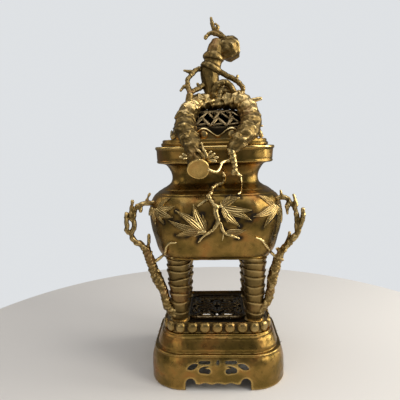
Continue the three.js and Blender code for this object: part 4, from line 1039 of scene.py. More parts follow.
# %% The vessel's profile
VESSEL_CORNER = 50.0
BELLY = 228.0
NECK = 271.0
COLLAR_FOOT = 291.0
MOUTH_HALF = 63.0
WALL = 4.0
vessel_outer = [(vessel_half - inset, base + up) for base, rows in (
    (vessel_bottom, (
        (21, 0), (18.4, 0.2), (16.2, 1.0), (15.7, 2.0), (16.1, 3.0), (14.2, 4.2), (12.4, 6.4), (9.3, 12.5))),
    (BELLY, (
        (6, -37), (2.6, -24), (0.6, -12), (0.1, 0), (1.2, 8), (3.6, 15), (7.4, 21), (9.2, 22.4),
        (10.0, 22.6), (11.0, 24.0), (15.4, 26.4), (18.0, 27.4), (18.9, 27.7), (20.4, 29.2), (25.0, 32.6),
        (29.6, 37.0))),
    (NECK, ((31.4, 0), (30.6, 6), (28.0, 11.6))),
    (COLLAR_FOOT, (
        (23.8, -2.8), (20.2, -1.4), (14.2, -0.6), (12.4, 0.4), (12.0, 2.0), (12.7, 3.2), (12.3, 5.0))),
    (vessel_top, (
        (11.9, -8), (11.6, -5.0), (10.9, -4.0), (10.1, -3.2), (10.0, -1.4), (10.6, -0.3), (12.0, 0))),
) for inset, up in rows]
vessel_curve = profile_curve(vessel_outer, 0.9)
vessel_inner = [
    (MOUTH_HALF + 1, vessel_top), (MOUTH_HALF, vessel_top - 0.8), (MOUTH_HALF, vessel_top - 8),
    (vessel_half - 34.6, COLLAR_FOOT - 4), (vessel_half - 35.7, NECK), (vessel_half - 33.7, NECK - 6),
    (vessel_half - 21, BELLY + 24), (vessel_half - 13, BELLY + 19), (vessel_half - 7, BELLY + 10),
    (vessel_half - 4, BELLY), (vessel_half - 5, BELLY - 15), (vessel_half - 10.5, BELLY - 36),
    (vessel_half - 15, vessel_bottom + 12), (vessel_half - 24, vessel_bottom + WALL + 0.5),
]
vessel_rows = np.vstack([vessel_curve, profile_curve(vessel_inner, 4.0)])
vessel_units = even_units(ring(vessel_half, vessel_half, VESSEL_CORNER), 460)


def vessel_body():
    profile, units = vessel_rows, vessel_units
    points, normals = ringed_grid(profile, units, vessel_half, VESSEL_CORNER)
    outside = (np.arange(len(profile)) < len(vessel_curve) - 8)[:, None]
    uneven = 0.16 * ripple(points, 28, 61) + 0.05 * ripple(points, 9, 62)
    points = points + normals * (uneven * outside)[..., None]
    rows, columns = points.shape[:2]
    faces = [tuple(quad) for quad in grid_faces(rows, columns)]
    faces.append(tuple(range(columns))[::-1])
    faces.append(tuple((rows - 1) * columns + k for k in range(columns)))
    return new_mesh("vessel_body", points.reshape(-1, 3), faces)


# %% [markdown]
# Everything on the vessel is laid out flat, on a strip that is wrapped round it: a distance round the belly
# from the front's middle, a height over the underside, and a lift off the wall.

# %% Places on the vessel's wall
belly_level = ring(vessel_half, vessel_half, VESSEL_CORNER)


def on_vessel(u, up, lift):
    """Places on the vessel, for arrays of distances round the belly, heights and lifts."""
    u, up, lift = np.broadcast_arrays(*(np.asarray(v, dtype=float) for v in (u, up, lift)))
    z = vessel_bottom + up
    half = np.interp(z, vessel_curve[:, 1], vessel_curve[:, 0])
    slope = (np.interp(z + 1.5, vessel_curve[:, 1], vessel_curve[:, 0])
             - np.interp(z - 1.5, vessel_curve[:, 1], vessel_curve[:, 0])) / 3
    x, y, out_x, out_y = on_ring(ring(half, vessel_half, VESSEL_CORNER), along_at(belly_level, u))
    flat = 1 / np.hypot(1, slope)
    return np.stack([x + out_x * flat * lift, y + out_y * flat * lift, z - slope * flat * lift], axis=-1)


SINK = 0.2  # how far a creeping tube sinks into the wall


def wall_rows(places):
    """Rows for a tube that creeps over the wall through (distance, height, radius) places."""
    return [(*on_vessel(u, up, radius - SINK), radius) for u, up, radius in places]


# %% [markdown]
# A bamboo leaf is a long pointed blade. On the casting both edges are raised threads and two ribs run between
# them, with chased grooves in between. The four lines meet at the stalk and at the tip. The blade is a grid
# of stations along its middle, each a closed loop over the top and back underneath, just inside the wall.

# %% Leaves
SLIM = 0.88  # the chased blades are a little slimmer than the solids they stand for
LEAF_LINES = (-0.88, -0.32, 0.32, 0.88)  # where the threads and ribs run, as shares of the half width
LINE_HALF = 0.55  # half width of a thread or rib
LEAF_WEAR = {"fine_mm": 0.2, "broad_mm": 2.0, "fine_rounds": 6, "broad_rounds": 10, "even": 0.58}


def leaf_blade(stalk, tip, width, bend, height):
    """One leaf's closed (points, faces), from its stalk to its tip, both (distance, height)."""
    stalk, tip = np.asarray(stalk, dtype=float), np.asarray(tip, dtype=float)
    run = tip - stalk
    long = np.linalg.norm(run)
    cross = np.array([run[1], -run[0]]) / long
    share = np.linspace(0.0, 1.0, 44)[:, None]
    wide = np.sin(math.pi * share.clip(0, 1) ** 0.7) ** 0.85 * (1.08 - 0.2 * share)
    half = SLIM * width / 2 * np.maximum(wide, 0.05)
    across = np.sin(np.linspace(-math.pi / 2, math.pi / 2, 41))[None, :]
    lines = sum(bead(half * (across - at), 0, LINE_HALF) for at in LEAF_LINES).clip(0, 1.2)
    body = height * (0.55 + 0.2 * (1 - across**2)) * np.minimum(1, 3 * (1 - share) + 0.35)
    top = body + 0.75 * lines * (1.1 - 0.4 * share)
    under = np.full((share.size, 5), -0.35)
    across_all = np.concatenate([across, np.array([[1, 0.6, 0, -0.6, -1]])], axis=1)
    lift = np.concatenate([top, under], axis=1)
    sway = bend * np.sin(math.pi * share) * long
    u = stalk[0] + share * run[0] + (half * across_all + sway) * cross[0]
    up = stalk[1] + share * run[1] + (half * across_all + sway) * cross[1]
    return capped(on_vessel(u, up, lift))


def outward(mesh):
    """Turns the faces of closed shapes outwards."""
    work = bmesh.new()
    work.from_mesh(mesh)
    bmesh.ops.recalc_face_normals(work, faces=work.faces)
    work.to_mesh(mesh)
    work.free()
    return mesh


# %% [markdown]
# Four sprays of leaves lie on the front and round its corners. Each has a creeping stem and five or six
# leaves, given by the places of stalk and tip and by the width. The back has the same sprays, turned half
# round.

# %% The sprays
def wall_stem(places, radius, tip_radius):
    radii = np.linspace(radius, tip_radius, len(places))
    rows = wall_rows([(u, up, r) for (u, up), r in zip(places, radii)])
    return swept(rows, sheaths(30, 5, 0.25, len(places)), 0.6, 14)


SPRAYS = {
    "front_right": (
        [[(3, 72), (8, 71), (12, 67), (15, 63)]],
        [((6, 73.5), (19, 84), 7), ((7, 72.5), (30, 81.5), 10), ((8, 70.5), (44, 66.8), 10),
         ((11, 67.5), (43, 54.8), 10), ((9, 68.5), (29, 47.5), 10), ((8, 69), (15, 51), 7)]),
    "front_left": (
        [[(-12.5, 41), (-17, 41.5), (-22, 40)]],
        [((-13.5, 41.5), (-16, 62), 6.5), ((-14, 41.5), (-27, 74.5), 11.5), ((-16, 42), (-49, 67.5), 10.5),
         ((-20, 41.5), (-58, 55.3), 10), ((-21, 40.5), (-50, 35.8), 9.5)]),
    "corner_left": (
        [[(-91, 68), (-84, 66.5), (-76, 68)]],
        [((-77, 68), (-50, 72.5), 9), ((-76, 68.5), (-60, 81.5), 7), ((-79, 67.5), (-52.5, 59.2), 10),
         ((-83, 67), (-66, 50), 10), ((-86, 67), (-82, 47), 9.5), ((-90, 68), (-106, 56), 9.5)]),
    "corner_right": (
        [[(92, 70), (86, 68.5), (77, 70)]],
        [((77, 70.5), (56, 83), 8.5), ((79, 70), (46, 59), 10), ((83, 69), (60, 45), 10),
         ((87, 69), (84.5, 27), 10), ((91, 70), (103, 44), 9.5)]),
}


def half_turned(parts):
    """The same parts turned half round the middle, for the vessel's back."""
    return [(points * np.array([-1, -1, 1]), faces) for points, faces in parts]


for name, (stems, leaves) in SPRAYS.items():
    parts = [wall_stem(stem, 1.4, 1.2) for stem in stems]
    for count, (stalk, tip, width) in enumerate(leaves):
        bend = 0.05 * (-1) ** count
        parts.append(leaf_blade(stalk, tip, width, bend, 1.5 + 0.4 * (count % 3)))
    for node, laid in ((f"leaves_{name}", parts), (f"rear_leaves_{name}", half_turned(parts))):
        piece = f"veined_{node}"
        spray = outward(new_mesh(piece, *merged(laid)))
        place_piece(piece, spray, "censer", "bright_bronze", node, wear=LEAF_WEAR)

# %% [markdown]
# The vine comes out from under the collar, winds down the front over the leaves' stalks and ends in two root
# tails. It is knobbed where roots broke through. A single leaf lies over its right tail, and a thin strand
# hangs beside it.

# %% The vine and the strand
COLLAR_EDGE_FRONT = vessel_half - 10.0 - DEPTH_LESS
NECK_FRONT = vessel_half - 31.7 - DEPTH_LESS
drop = [(10, -NECK_FRONT - 17, vessel_top - 33, 1.5), (12, -NECK_FRONT - 10, vessel_top - 41, 1.9),
        (9, -NECK_FRONT - 7.2, vessel_top - 47, 2.1)]
vine_wall = [(2, 94.5, 2.5), (-4, 90.5, 2.7), (-6, 85.5, 2.8), (-8, 82.5, 3.3), (-5, 77.5, 2.6),
             (-2, 73.5, 3.0), (1, 71.5, 3.3), (0, 66.5, 3.4), (2, 59.5, 3.0), (3, 54.5, 2.9), (0, 48.5, 2.4),
             (-4, 43.5, 2.1), (-11, 38.5, 1.8), (-17, 33.5, 1.4), (-22, 27, 1.0)]
tail_wall = [(3, 55, 2.2), (6, 51, 2.1), (8, 44.5, 2.0), (12, 38.5, 1.8), (20, 35.5, 1.5), (29, 31.5, 1.0)]
side_tails = [
    [(-11, 38.5, 1.0), (-19, 38.0, 0.9), (-27, 35.0, 0.7)],
    [(8, 44.5, 1.0), (9, 36, 0.9), (8, 29, 0.7)],
    [(-4, 77.5, 1.8), (-10, 79.3, 1.7), (-16, 76, 1.5), (-22, 72, 1.1)],
]
vine_rows = drop + wall_rows(vine_wall)
vine_parts = [swept(vine_rows, sheaths(110, 7, 0.35, 71, 0.4), 0.6, 20)]
vine_parts.append(swept(wall_rows(tail_wall), sheaths(40, 7, 0.2, 72, 0.4), 0.6, 18))
vine_parts += [swept(wall_rows(tail), None, 0.6, 14) for tail in side_tails]
vine_parts += knots_along(vine_rows, 9, 1.9, 73, 0.6)
CREEPER_WEAR = {"fine_mm": 0.5, "broad_mm": 1.4, "broad_rounds": 30, "even": 0.62, "soft_rounds": 3}
place_piece("knotted_vine", fused("knotted_vine", vine_parts, 0.5, 0.12, 0.0, 74, ease=4), "censer",
            "bright_bronze", "front_vine", wear=CREEPER_WEAR)
vine_leaf = outward(new_mesh("vine_leaf", *merged([leaf_blade((12, 39.5), (37, 42.5), 10, 0.05, 2.4)])))
place_piece("vine_leaf", vine_leaf, "censer", "bright_bronze", wear=LEAF_WEAR)

strand_rows = wall_rows([(33, 105, 1.3), (33.5, 99, 1.2), (33, 92, 1.1), (31, 87, 1.1), (28, 85, 1.0)])
strand = fused("thin_strand", [swept(strand_rows, None, 0.6, 16)] + knots_along(strand_rows, 6, 1.0, 76),
               0.5, 0.1, 0.0, 77)
place_piece("thin_strand", strand, "censer", "bright_bronze", "side_strand", wear=CREEPER_WEAR)

# %% [markdown]
# Last comes the wall itself, because its colour depends on what was laid on it. Close to the leaves and in
# the
# gaps of a spray the wall is darker: partly patina that polishing never reaches, partly painted shade from
# the relief. A band round the shoulder is painted paler, as a painted highlight.

# %% The vessel's casting
LEAVES_ON_WALL = [(stalk, tip, width / 2)
                  for _, leaves in SPRAYS.values() for stalk, tip, width in leaves]
VINE_ON_WALL = [(start[:2], end[:2], 2.0) for start, end in zip(vine_wall, vine_wall[1:])]
VINE_ON_WALL += [(start[:2], end[:2], 1.5) for start, end in zip(tail_wall, tail_wall[1:])]
SHADE_REACH = 5.0  # how far the darkening, patina and painted shade, reaches from a leaf's edge
HIGHLIGHT_LEVEL = BELLY + 13  # the level of a paler band painted round the shoulder as a highlight
PATINA_AND_SHADE = 0.34  # how dark the patina and painted shade lie right beside a leaf


def painted_light_and_patina():
    """Patina and painted shade by distance to the relief, less a painted highlight, at each grid point."""
    knots = half_girth_knots(belly_level)
    round_belly = np.sign(vessel_units) * np.interp(np.abs(vessel_units), np.arange(6), knots)
    heights = vessel_rows[:, 1][:, None] - vessel_bottom
    nearest = np.full((len(vessel_rows), len(vessel_units)), 99.0)
    for shift, laid in ((0, LEAVES_ON_WALL + VINE_ON_WALL), (knots[-1], LEAVES_ON_WALL)):
        u = np.mod(round_belly - shift + knots[-1], 2 * knots[-1])[None, :] - knots[-1]
        for (from_u, from_up), (to_u, to_up), half in laid:
            run_u, run_up = to_u - from_u, to_up - from_up
            share = ((u - from_u) * run_u + (heights - from_up) * run_up) / (run_u**2 + run_up**2)
            share = share.clip(0, 1)
            away = np.hypot(u - from_u - share * run_u, heights - from_up - share * run_up)
            nearest = np.minimum(nearest, away - half * (1 - 0.7 * share**2))
    places = ringed_grid(vessel_rows, vessel_units, vessel_half, VESSEL_CORNER)[0]
    outside = (np.arange(len(vessel_rows)) < len(vessel_curve))[:, None]
    thick = (PATINA_AND_SHADE + 0.09 * ripple(places, 11, 63)) * outside
    # A paler band round the shoulder is a painted highlight.
    painted_highlight = bead(heights + vessel_bottom, HIGHLIGHT_LEVEL, 6) * (thick != 0)
    return (thick * np.exp(-(np.maximum(nearest, 0) / SHADE_REACH) ** 1.5) - 0.2 * painted_highlight).ravel()


place_piece("vessel_body", vessel_body(), "censer", "cast_bronze", "vessel_bowl", sharp=50,
            wear={"fine_mm": 0.7, "broad_mm": 1.8, "soft_rounds": 2}, shade=painted_light_and_patina())

# %% [markdown]
# ## The branch handles
#
# Each handle is a root that leaves the foot of a front leg, leans out and up beside the vessel, and turns
# into a knobbed branch whose tip comes back over the shoulder. Stubs of cut shoots stand on it. Places are
# measured from the vessel's widest point or from the leg's foot, as on the solid that carries them.

# %% Places on the handles
def by_vessel(side, out, forward, up, radius):
    return (side * (vessel_half + out), -(leg_y + forward), vessel_bottom + up, radius)


def by_leg(side, out, forward, up, radius):
    return (side * (leg_x + out), -(leg_y + forward), deck_top + up, radius)


ROOT_FORKS = {-1: by_vessel(-1, -3, 7, -7.5, 6.7), 1: by_vessel(1, -8, 8, -1.5, 6.0)}

left_trunk = [by_leg(-1, *row) for row in (
    (6, 4, 10, 6.8), (16, 5, 22, 6.8), (19, 5, 36, 6.4), (23, 5, 48, 6.8), (28, 5, 58, 7.8),
    (32, 6, 69, 7.2))]
left_trunk += [ROOT_FORKS[-1]] + [by_vessel(-1, *row) for row in (
    (0, 9, 4.5, 6.6), (5, 11, 15.5, 4.8), (11, 13, 24, 3.8))]
left_branch_rows = [by_vessel(-1, *row) for row in (
    (9, 12.5, 21, 3.6), (15, 15, 24.5, 3.3), (19, 15, 29.5, 3.3), (20, 15, 37.5, 3.3),
    (16.5, 15, 44.5, 3.1), (17, 15, 53.5, 3), (17, 15, 59.5, 3.3), (14, 13, 68.5, 3), (8, 11, 72.5, 2.9),
    (2, 9, 74, 2.8), (-6, 6, 74, 2.8), (-16, 2, 72, 2.8))]
left_twigs = [[by_vessel(-1, *row) for row in twig] for twig in (
    ((20, 15, 37, 2.2), (25, 17, 38, 2.6), (25.2, 18, 46, 3.1), (25.6, 19, 54.5, 2.6),
     (25.2, 19, 63.5, 2.0)),
    ((17, 15, 51, 2.6), (20, 17, 58, 2.6), (19, 17, 66, 2.5), (17, 17, 78.5, 2.2)),
    ((1, 9, 73, 1.9), (-1, 7, 80, 1.7), (-4, 7, 86.5, 1.4)),
    ((7, 11, 72, 2), (8, 12, 67, 2.5), (8, 12, 63, 1.6)),
    ((2, 10, 9, 2.8), (0, 8, 20, 2.4), (-1, 8, 33, 1.8)))]
right_trunk = [by_leg(1, *row) for row in (
    (5, 3, 10, 6.8), (15, 5, 25, 6.0), (19, 5, 35, 6.0), (21, 5, 45, 6.3), (24, 6, 61, 6.8),
    (27, 7, 74, 6.8))]
right_trunk += [ROOT_FORKS[1]] + [by_vessel(1, *row) for row in (
    (-3, 11, 10, 5), (3, 13, 18.5, 4.3), (9, 15, 25.5, 3.8), (15, 15, 34.5, 3.3))]
right_branch_rows = [by_vessel(1, *row) for row in (
    (9, 15, 25.5, 3.6), (15, 15, 34.5, 3.3), (15, 15, 44.5, 3.1), (14, 15, 56.5, 3), (13, 14, 63.5, 2.9),
    (8, 12, 71.5, 2.8), (2, 10, 78, 2.8), (-6, 8, 78.5, 2.8), (-16, 4, 73, 2.6))]
right_twigs = [[by_vessel(1, *row) for row in twig] for twig in (
    ((15, 15, 33, 2.6), (19.6, 17, 47.5, 3.0), (21.2, 18, 54.5, 3.0), (21, 19, 65.5, 2.3)),
    ((12.5, 14, 64, 2.4), (13, 15, 70, 2.3), (12, 15, 75.5, 2.2), (10, 15, 82.5, 1.5)),
    ((-3, 9, 78, 2), (-4, 8, 83, 1.8), (-5, 8, 87.5, 1.5)),
    ((3, 12, 73, 2), (3, 13, 66, 2.5), (3, 13, 58, 1.6)),
    ((0, 12, 12, 2.5), (2, 11, 19, 2.4), (5, 11, 27, 2.4), (6, 11, 34, 1.8)))]
right_twigs.append([by_leg(1, 17, 5, 30, 2.4), by_leg(1, 24, 6, 32, 1.8)])

# %% [markdown]
# The trunk's rings are set close and cut deep. The branches' sheaths are longer and softer, and knots sit on
# them at random. Small stubs are swept out of the trunk's side and sawn off flat.

# %% The handles' castings
BARK_WEAR = {
    "fine_mm": 0.5, "broad_mm": 1.5, "fine_rounds": 6, "broad_rounds": 40, "even": 0.53, "soft_rounds": 3}


def tube_length(rows):
    places = np.asarray(rows)[:, :3]
    return float(np.linalg.norm(np.diff(places, axis=0), axis=1).sum())


def branch_tube(rows, spacing, flare, seed, around=22, waves=0.6):
    """A tube of overlapping sheaths with round ends."""
    return swept(rows, sheaths(tube_length(rows), spacing, flare, seed, 0.35, waves), 0.6, around)


def stubs_on(rows, count, radius, long, seed):
    """Sawn stubs that stand out of a tube, leaning towards its tip."""
    draw = np.random.default_rng(seed)
    path = smooth_path(rows, 1.0)
    parts = []
    for i in draw.integers(4, len(path) - 4, count):
        run = path[i + 2, :3] - path[i - 2, :3]
        run /= np.linalg.norm(run)
        way = draw.normal(size=3)
        way -= run * (way @ run)
        way = way / np.linalg.norm(way) + 0.5 * run
        thick = radius * draw.uniform(0.8, 1.25)
        start = path[i, :3] + way * path[i, 3] * 0.5
        end = path[i, :3] + way * (path[i, 3] + long * draw.uniform(0.6, 1.1))
        parts.append(swept([(*start, thick), (*(start + end) / 2, thick * 0.9), (*end, thick)], None, 0.5, 14,
                           (True, False)))
    return parts


def branch_handle(side, trunk, branch, twigs, seed):
    name = "branch_handle_left" if side < 0 else "branch_handle_right"
    slim = [(x, y, z, radius - 0.9) for x, y, z, radius in trunk]
    parts = [branch_tube(slim, 5.0, 0.95, seed, 34, waves=1.2), branch_tube(branch, 7.5, 0.6, seed + 1, 22)]
    parts += [branch_tube(twig, 7, 0.4, seed + 2 + i, 18) for i, twig in enumerate(twigs)]
    parts += knots_along(slim[:6], 16, 1.8, seed + 9, 0.9) + knots_along(slim[5:], 6, 2.4, seed + 10)
    parts += knots_along(branch, 16, 1.7, seed + 11)
    for i, twig in enumerate(twigs[:-1]):
        parts += knots_along(twig, 4, 1.4, seed + 12 + i)
    parts += stubs_on(trunk[3:9], 3, 2.2, 3.0, seed + 20)
    piece = f"cast_{name}"
    mesh = fused(piece, parts, 0.65, 0.3, 0.02, seed + 30, ease=4)
    place_piece(piece, mesh, "censer", "bark_bronze", name, wear=BARK_WEAR)


branch_handle(-1, left_trunk, left_branch_rows, left_twigs, 100)
branch_handle(1, right_trunk, right_branch_rows, right_twigs, 200)

# %% [markdown]
# A thin root forks off each trunk and runs on over the belly, where it levels out and ends.

# %% Handle roots
ROOT_WALLS = {
    -1: [(-82, 7, 1.9), (-73.5, 11, 1.8), (-68, 19.5, 1.7), (-60.5, 25.5, 1.5), (-51, 26.8, 1.2)],
    1: [(84, 9, 1.9), (77, 13, 1.8), (65.5, 21.5, 1.7), (58.5, 28.5, 1.5), (50, 32.3, 1.2)]}


def handle_root(side, seed):
    rows = [(*ROOT_FORKS[side][:3], 2.0)] + wall_rows(ROOT_WALLS[side])
    name = "handle_root_left" if side < 0 else "handle_root_right"
    parts = [branch_tube(rows, 6, 0.25, seed, 18)] + knots_along(rows[1:], 3, 1.3, seed + 1)
    piece = f"thin_{name}"
    mesh = fused(piece, parts, 0.5, 0.1, 0.0, seed + 2)
    place_piece(piece, mesh, "censer", "bright_bronze", name, wear=CREEPER_WEAR)


handle_root(-1, 300)
handle_root(1, 310)

# %% [markdown]
# ## The lid
#
# The lid is a flat plate with a flange that drops into the collar's mouth, and a pierced dome that lets the
# smoke out. The plate's edge has two steps, the upper one a little narrower.

# %% The lid's plate
PLATE_HALF = box_mm("lid_plate")[1][0]
plate_low_z = vessel_top + 0.3
FLANGE_HALF = MOUTH_HALF - 0.8
HOLE_HALF = 51.0
flange_low = box_mm("lid_plate")[0][2]
plate_profile = [
    (PLATE_HALF - 1.2, plate_low_z), (PLATE_HALF - 0.3, plate_low_z + 0.5), (PLATE_HALF, plate_low_z + 1.4),
    (PLATE_HALF, plate_low_z + 3.4), (PLATE_HALF - 0.5, plate_low_z + 4.1),
    (PLATE_HALF - 1.6, plate_low_z + 4.4), (PLATE_HALF - 1.9, plate_low_z + 5.0),
    (PLATE_HALF - 1.8, plate_top - 1.4), (PLATE_HALF - 2.3, plate_top - 0.4),
    (PLATE_HALF - 3.4, plate_top), (HOLE_HALF + 1, plate_top), (HOLE_HALF, plate_top - 0.8),
    (HOLE_HALF, plate_top - 4), (FLANGE_HALF - 3, plate_top - 4.3), (FLANGE_HALF - 3, flange_low + 0.4),
    (FLANGE_HALF - 2.4, flange_low), (FLANGE_HALF - 0.6, flange_low), (FLANGE_HALF, flange_low + 0.6),
    (FLANGE_HALF, plate_low_z), (FLANGE_HALF + 2, plate_low_z)]


def lid_plate():
    rows = []
    for (half, z), (next_half, next_z) in zip(plate_profile, plate_profile[1:] + plate_profile[:1]):
        pieces = max(int(math.hypot(next_half - half, next_z - z) / 1.2), 1)
        rows += [(half + (next_half - half) * k / pieces, z + (next_z - z) * k / pieces)
                 for k in range(pieces)]
    units = even_units(ring(vessel_half, vessel_half, VESSEL_CORNER), 420)
    points, normals = ringed_grid(rows, units, vessel_half, VESSEL_CORNER)
    points = points - normals * (0.05 * ripple(points, 12, 81))[..., None]
    return new_mesh("stepped_plate", points.reshape(-1, 3), grid_faces(len(rows), len(units), True, True))


place_piece("stepped_plate", outward(lid_plate()), "lid", "cast_bronze", "lid_plate", sharp=35,
            wear={"fine_mm": 1.6, "broad_mm": 4.0, "soft_rounds": 3, "even": 0.46})

# %% [markdown]
# The dome is pierced between bamboo leaves. Its field is the distance inside the nearest leaf, for two rows
# of crossing leaves and two of nearly level ones, with an edge kept whole at the skirt and the crown. The
# leaves widen towards the rear, where little light comes through.

# %% The pierced dome
DOME_CORNER = 34.0
DOME_SHARES = [(1, 0), (1, 0.12), (1, 0.23), (0.985, 0.33), (0.93, 0.51), (0.84, 0.7), (0.7, 0.865),
               (0.58, 0.955), (0.46, 1), (0.2, 1.0)]
dome_half = dome_high[0]
dome_tall = dome_high[2] - dome_low[2]
LEAF_COLUMNS = 16


def dome_ring(half):
    share = half / dome_half
    return half, (dome_half - DEPTH_LESS) * share, np.maximum(DOME_CORNER * share, 1.0)


def dome_surface(profile, units):
    level = dome_ring(profile[:, 0][:, None])
    x, y, out_x, out_y = on_ring(level, units[None, :])
    z = np.repeat(profile[:, 1][:, None], len(units), axis=1)
    run = np.gradient(profile, axis=0)
    run /= np.linalg.norm(run, axis=1)[:, None]
    level_run, climb_run = run[:, 0][:, None], run[:, 1][:, None]
    normals = np.stack([out_x * climb_run, out_y * climb_run, -level_run + 0 * x], axis=2)
    return np.stack([x, y, z], axis=2), normals


def pierced_dome():
    profile = profile_curve([(s * dome_half, dome_low[2] + r * dome_tall) for s, r in DOME_SHARES], 0.8)
    units = even_units(dome_ring(np.array(dome_half)), 432)
    points, normals = dome_surface(profile, units)
    climb = np.concatenate([[0], np.cumsum(np.linalg.norm(np.diff(profile, axis=0), axis=1))])
    rise = climb[:, None] + 0 * units[None, :]
    girth = 2 * half_girth_knots(dome_ring(dome_half * 0.9))[-1]
    pitch = girth / LEAF_COLUMNS
    across = np.arange(len(units))[None, :] / len(units) * girth + 0 * rise
    metal = np.maximum(15.5 - rise, rise - 44)
    ribs = 0 * rise
    rear = np.interp(np.abs(units), [0, 1.6, 2.6, 5], [0, 0, 1, 1])[None, :]
    for level, tilt, shift, front_wide in ((23, 0.9, 0.0, 1.9), (23, -0.9, 0.5, 1.9), (35, 1.0, 0.25, 1.9),
                                           (35, -1.0, 0.75, 1.9), (41, 0.2, 0.5, 1.7), (19, 0.15, 0.25, 1.6)):
        wide = front_wide + 4.4 * rear
        along = (np.mod(across / pitch - shift + 0.5, 1) - 0.5) * pitch
        inside = -outside_leaf(along, rise, 0, level, 11.5, wide, tilt)
        beside = (rise - level) * math.cos(tilt) - along * math.sin(tilt)
        ribs = np.where(inside > np.maximum(metal, 0), 0.9 * bead(beside, 0, 0.6), ribs)
        metal = np.maximum(metal, inside)
    crest = ribs + 0.6 * bead(metal, 0.8, 0.5) * (rise > 15)
    points = points + normals * (crest - 0.8 + 0.06 * ripple(points, 6, 83))[..., None]
    points, faces = pierced(points, metal)
    return thick_sheet("pierced_dome", points, faces, 2.6)


dome_mesh = pierced_dome()
# The dome's inward faces are darkened with painted shade.
place_piece("pierced_dome", dome_mesh, "lid", "dark_bronze", "lid_dome",
            wear={"fine_mm": 0.4, "broad_mm": 1.2, "soft_rounds": 2}, shade=painted_inner_shade(dome_mesh, 0.5))

# %% [markdown]
# Round the dome's foot stands a wavy border: ten lobes with a rolled rim, and a polished boss in each lobe.
# The lid sits a few millimetres turned on the real one, so the waves are shifted by as much.

# %% The wavy border
BORDER_HALF = dome_half + 0.3
BORDER_TALL = 14.0
LOBES = 10
LOBE_STEPS = 48
LOBE_SHIFT = 0.12
BOSS_RADIUS = 5.0


def wavy_border():
    units = even_units(dome_ring(np.array(dome_half)), LOBES * LOBE_STEPS)
    turn = np.arange(len(units)) / LOBE_STEPS - LOBE_SHIFT
    lobe = (0.5 - 0.5 * np.cos(2 * math.pi * turn)) ** 0.8
    height = BORDER_TALL * (0.3 + 0.7 * lobe)
    pitch = 2 * half_girth_knots(dome_ring(np.array(dome_half)))[-1] / LOBES
    from_middle = (np.mod(turn, 1) - 0.5) * pitch
    out_x, out_y = on_ring(ring(BORDER_HALF, dome_half, DOME_CORNER), units)[2:]
    rows = []
    for share in np.concatenate([np.linspace(0, 0.94, 26), [0.97, 1.0]]):
        z = share * height
        rim = 1.3 * bead(height - z, 1.5, 1.2) - 0.6 * (share > 0.98)
        away = np.hypot(from_middle, z - 5.2) / BOSS_RADIUS
        boss = 1.5 * np.sqrt(np.maximum(1 - away**2, 0))
        rows.append((0.9 + np.maximum(rim, boss), z))
    rows += [(0.5 + 0 * height, height - 0.1), (0 * height, height - 0.9), (0 * height, 0.5 * height),
             (0 * height, 0 * height)]
    x, y = on_ring(ring(BORDER_HALF, dome_half, DOME_CORNER), units)[:2]
    rings = np.stack([np.stack([x + out_x * out, y + out_y * out, dome_low[2] + z], axis=1)
                      for out, z in rows])
    return new_mesh("wavy_border", rings.reshape(-1, 3), grid_faces(len(rings), len(units), True, True))


place_piece("wavy_border", outward(wavy_border()), "lid", "bright_bronze", "cusped_border")

# %% [markdown]
# ## The arch
#
# Over the dome bends a thick trunk. It springs from the right, in front of the collar, climbs over the crown
# and comes down at the left to end in a sawn face that looks at the viewer. It is lumpy and ringed, with
# wavy edges, and it was cut to sit over the plate and the dome, so here its skin is pressed off them.

# %% Keeping the arch off its neighbours
def off_block(half, level_top, widest, corner, gap=0.35, level_low=-1e3):
    """Presses points out of a prism on the shared plan, sideways or upwards, whichever is nearer."""
    half_x, half_y, r = ring(half + gap, widest, corner)

    def press(points):
        x, y, z = points.T
        dx, dy = np.abs(x) - (half_x - r), np.abs(y) - (half_y - r)
        outside = outside_rounded(x, y, half_x, half_y, r)
        above = z - (level_top + gap)
        inside = (outside < 0) & (above < 0) & (z > level_low)
        sideways = inside & (outside > above)
        corner_x, corner_y = np.maximum(dx, 0), np.maximum(dy, 0)
        long = np.hypot(corner_x, corner_y)
        way_x = np.where(long > 0, corner_x / np.maximum(long, 1e-9), (dx > dy) * 1.0)
        way_y = np.where(long > 0, corner_y / np.maximum(long, 1e-9), (dx <= dy) * 1.0)
        moved = points.copy()
        moved[:, 0] -= np.where(sideways, outside * way_x * np.sign(x), 0)
        moved[:, 1] -= np.where(sideways, outside * way_y * np.sign(y), 0)
        moved[:, 2] -= np.where(inside & ~sideways, above, 0)
        return moved

    return press


off_collar = off_block(vessel_half - 10.0, vessel_top, vessel_half, VESSEL_CORNER, 1.1, COLLAR_FOOT - 4)
off_plate = off_block(PLATE_HALF, plate_top, vessel_half, VESSEL_CORNER, 0.3)
off_crown = off_block(0.5 * dome_half, crown, dome_half, DOME_CORNER, 0.15)


def by_collar(x, forward, up, radius):
    return (x, -(COLLAR_EDGE_FRONT + forward), plate_top + up, radius)


def by_crown(x, y, up, radius):
    return (x, y, crown + up, radius)


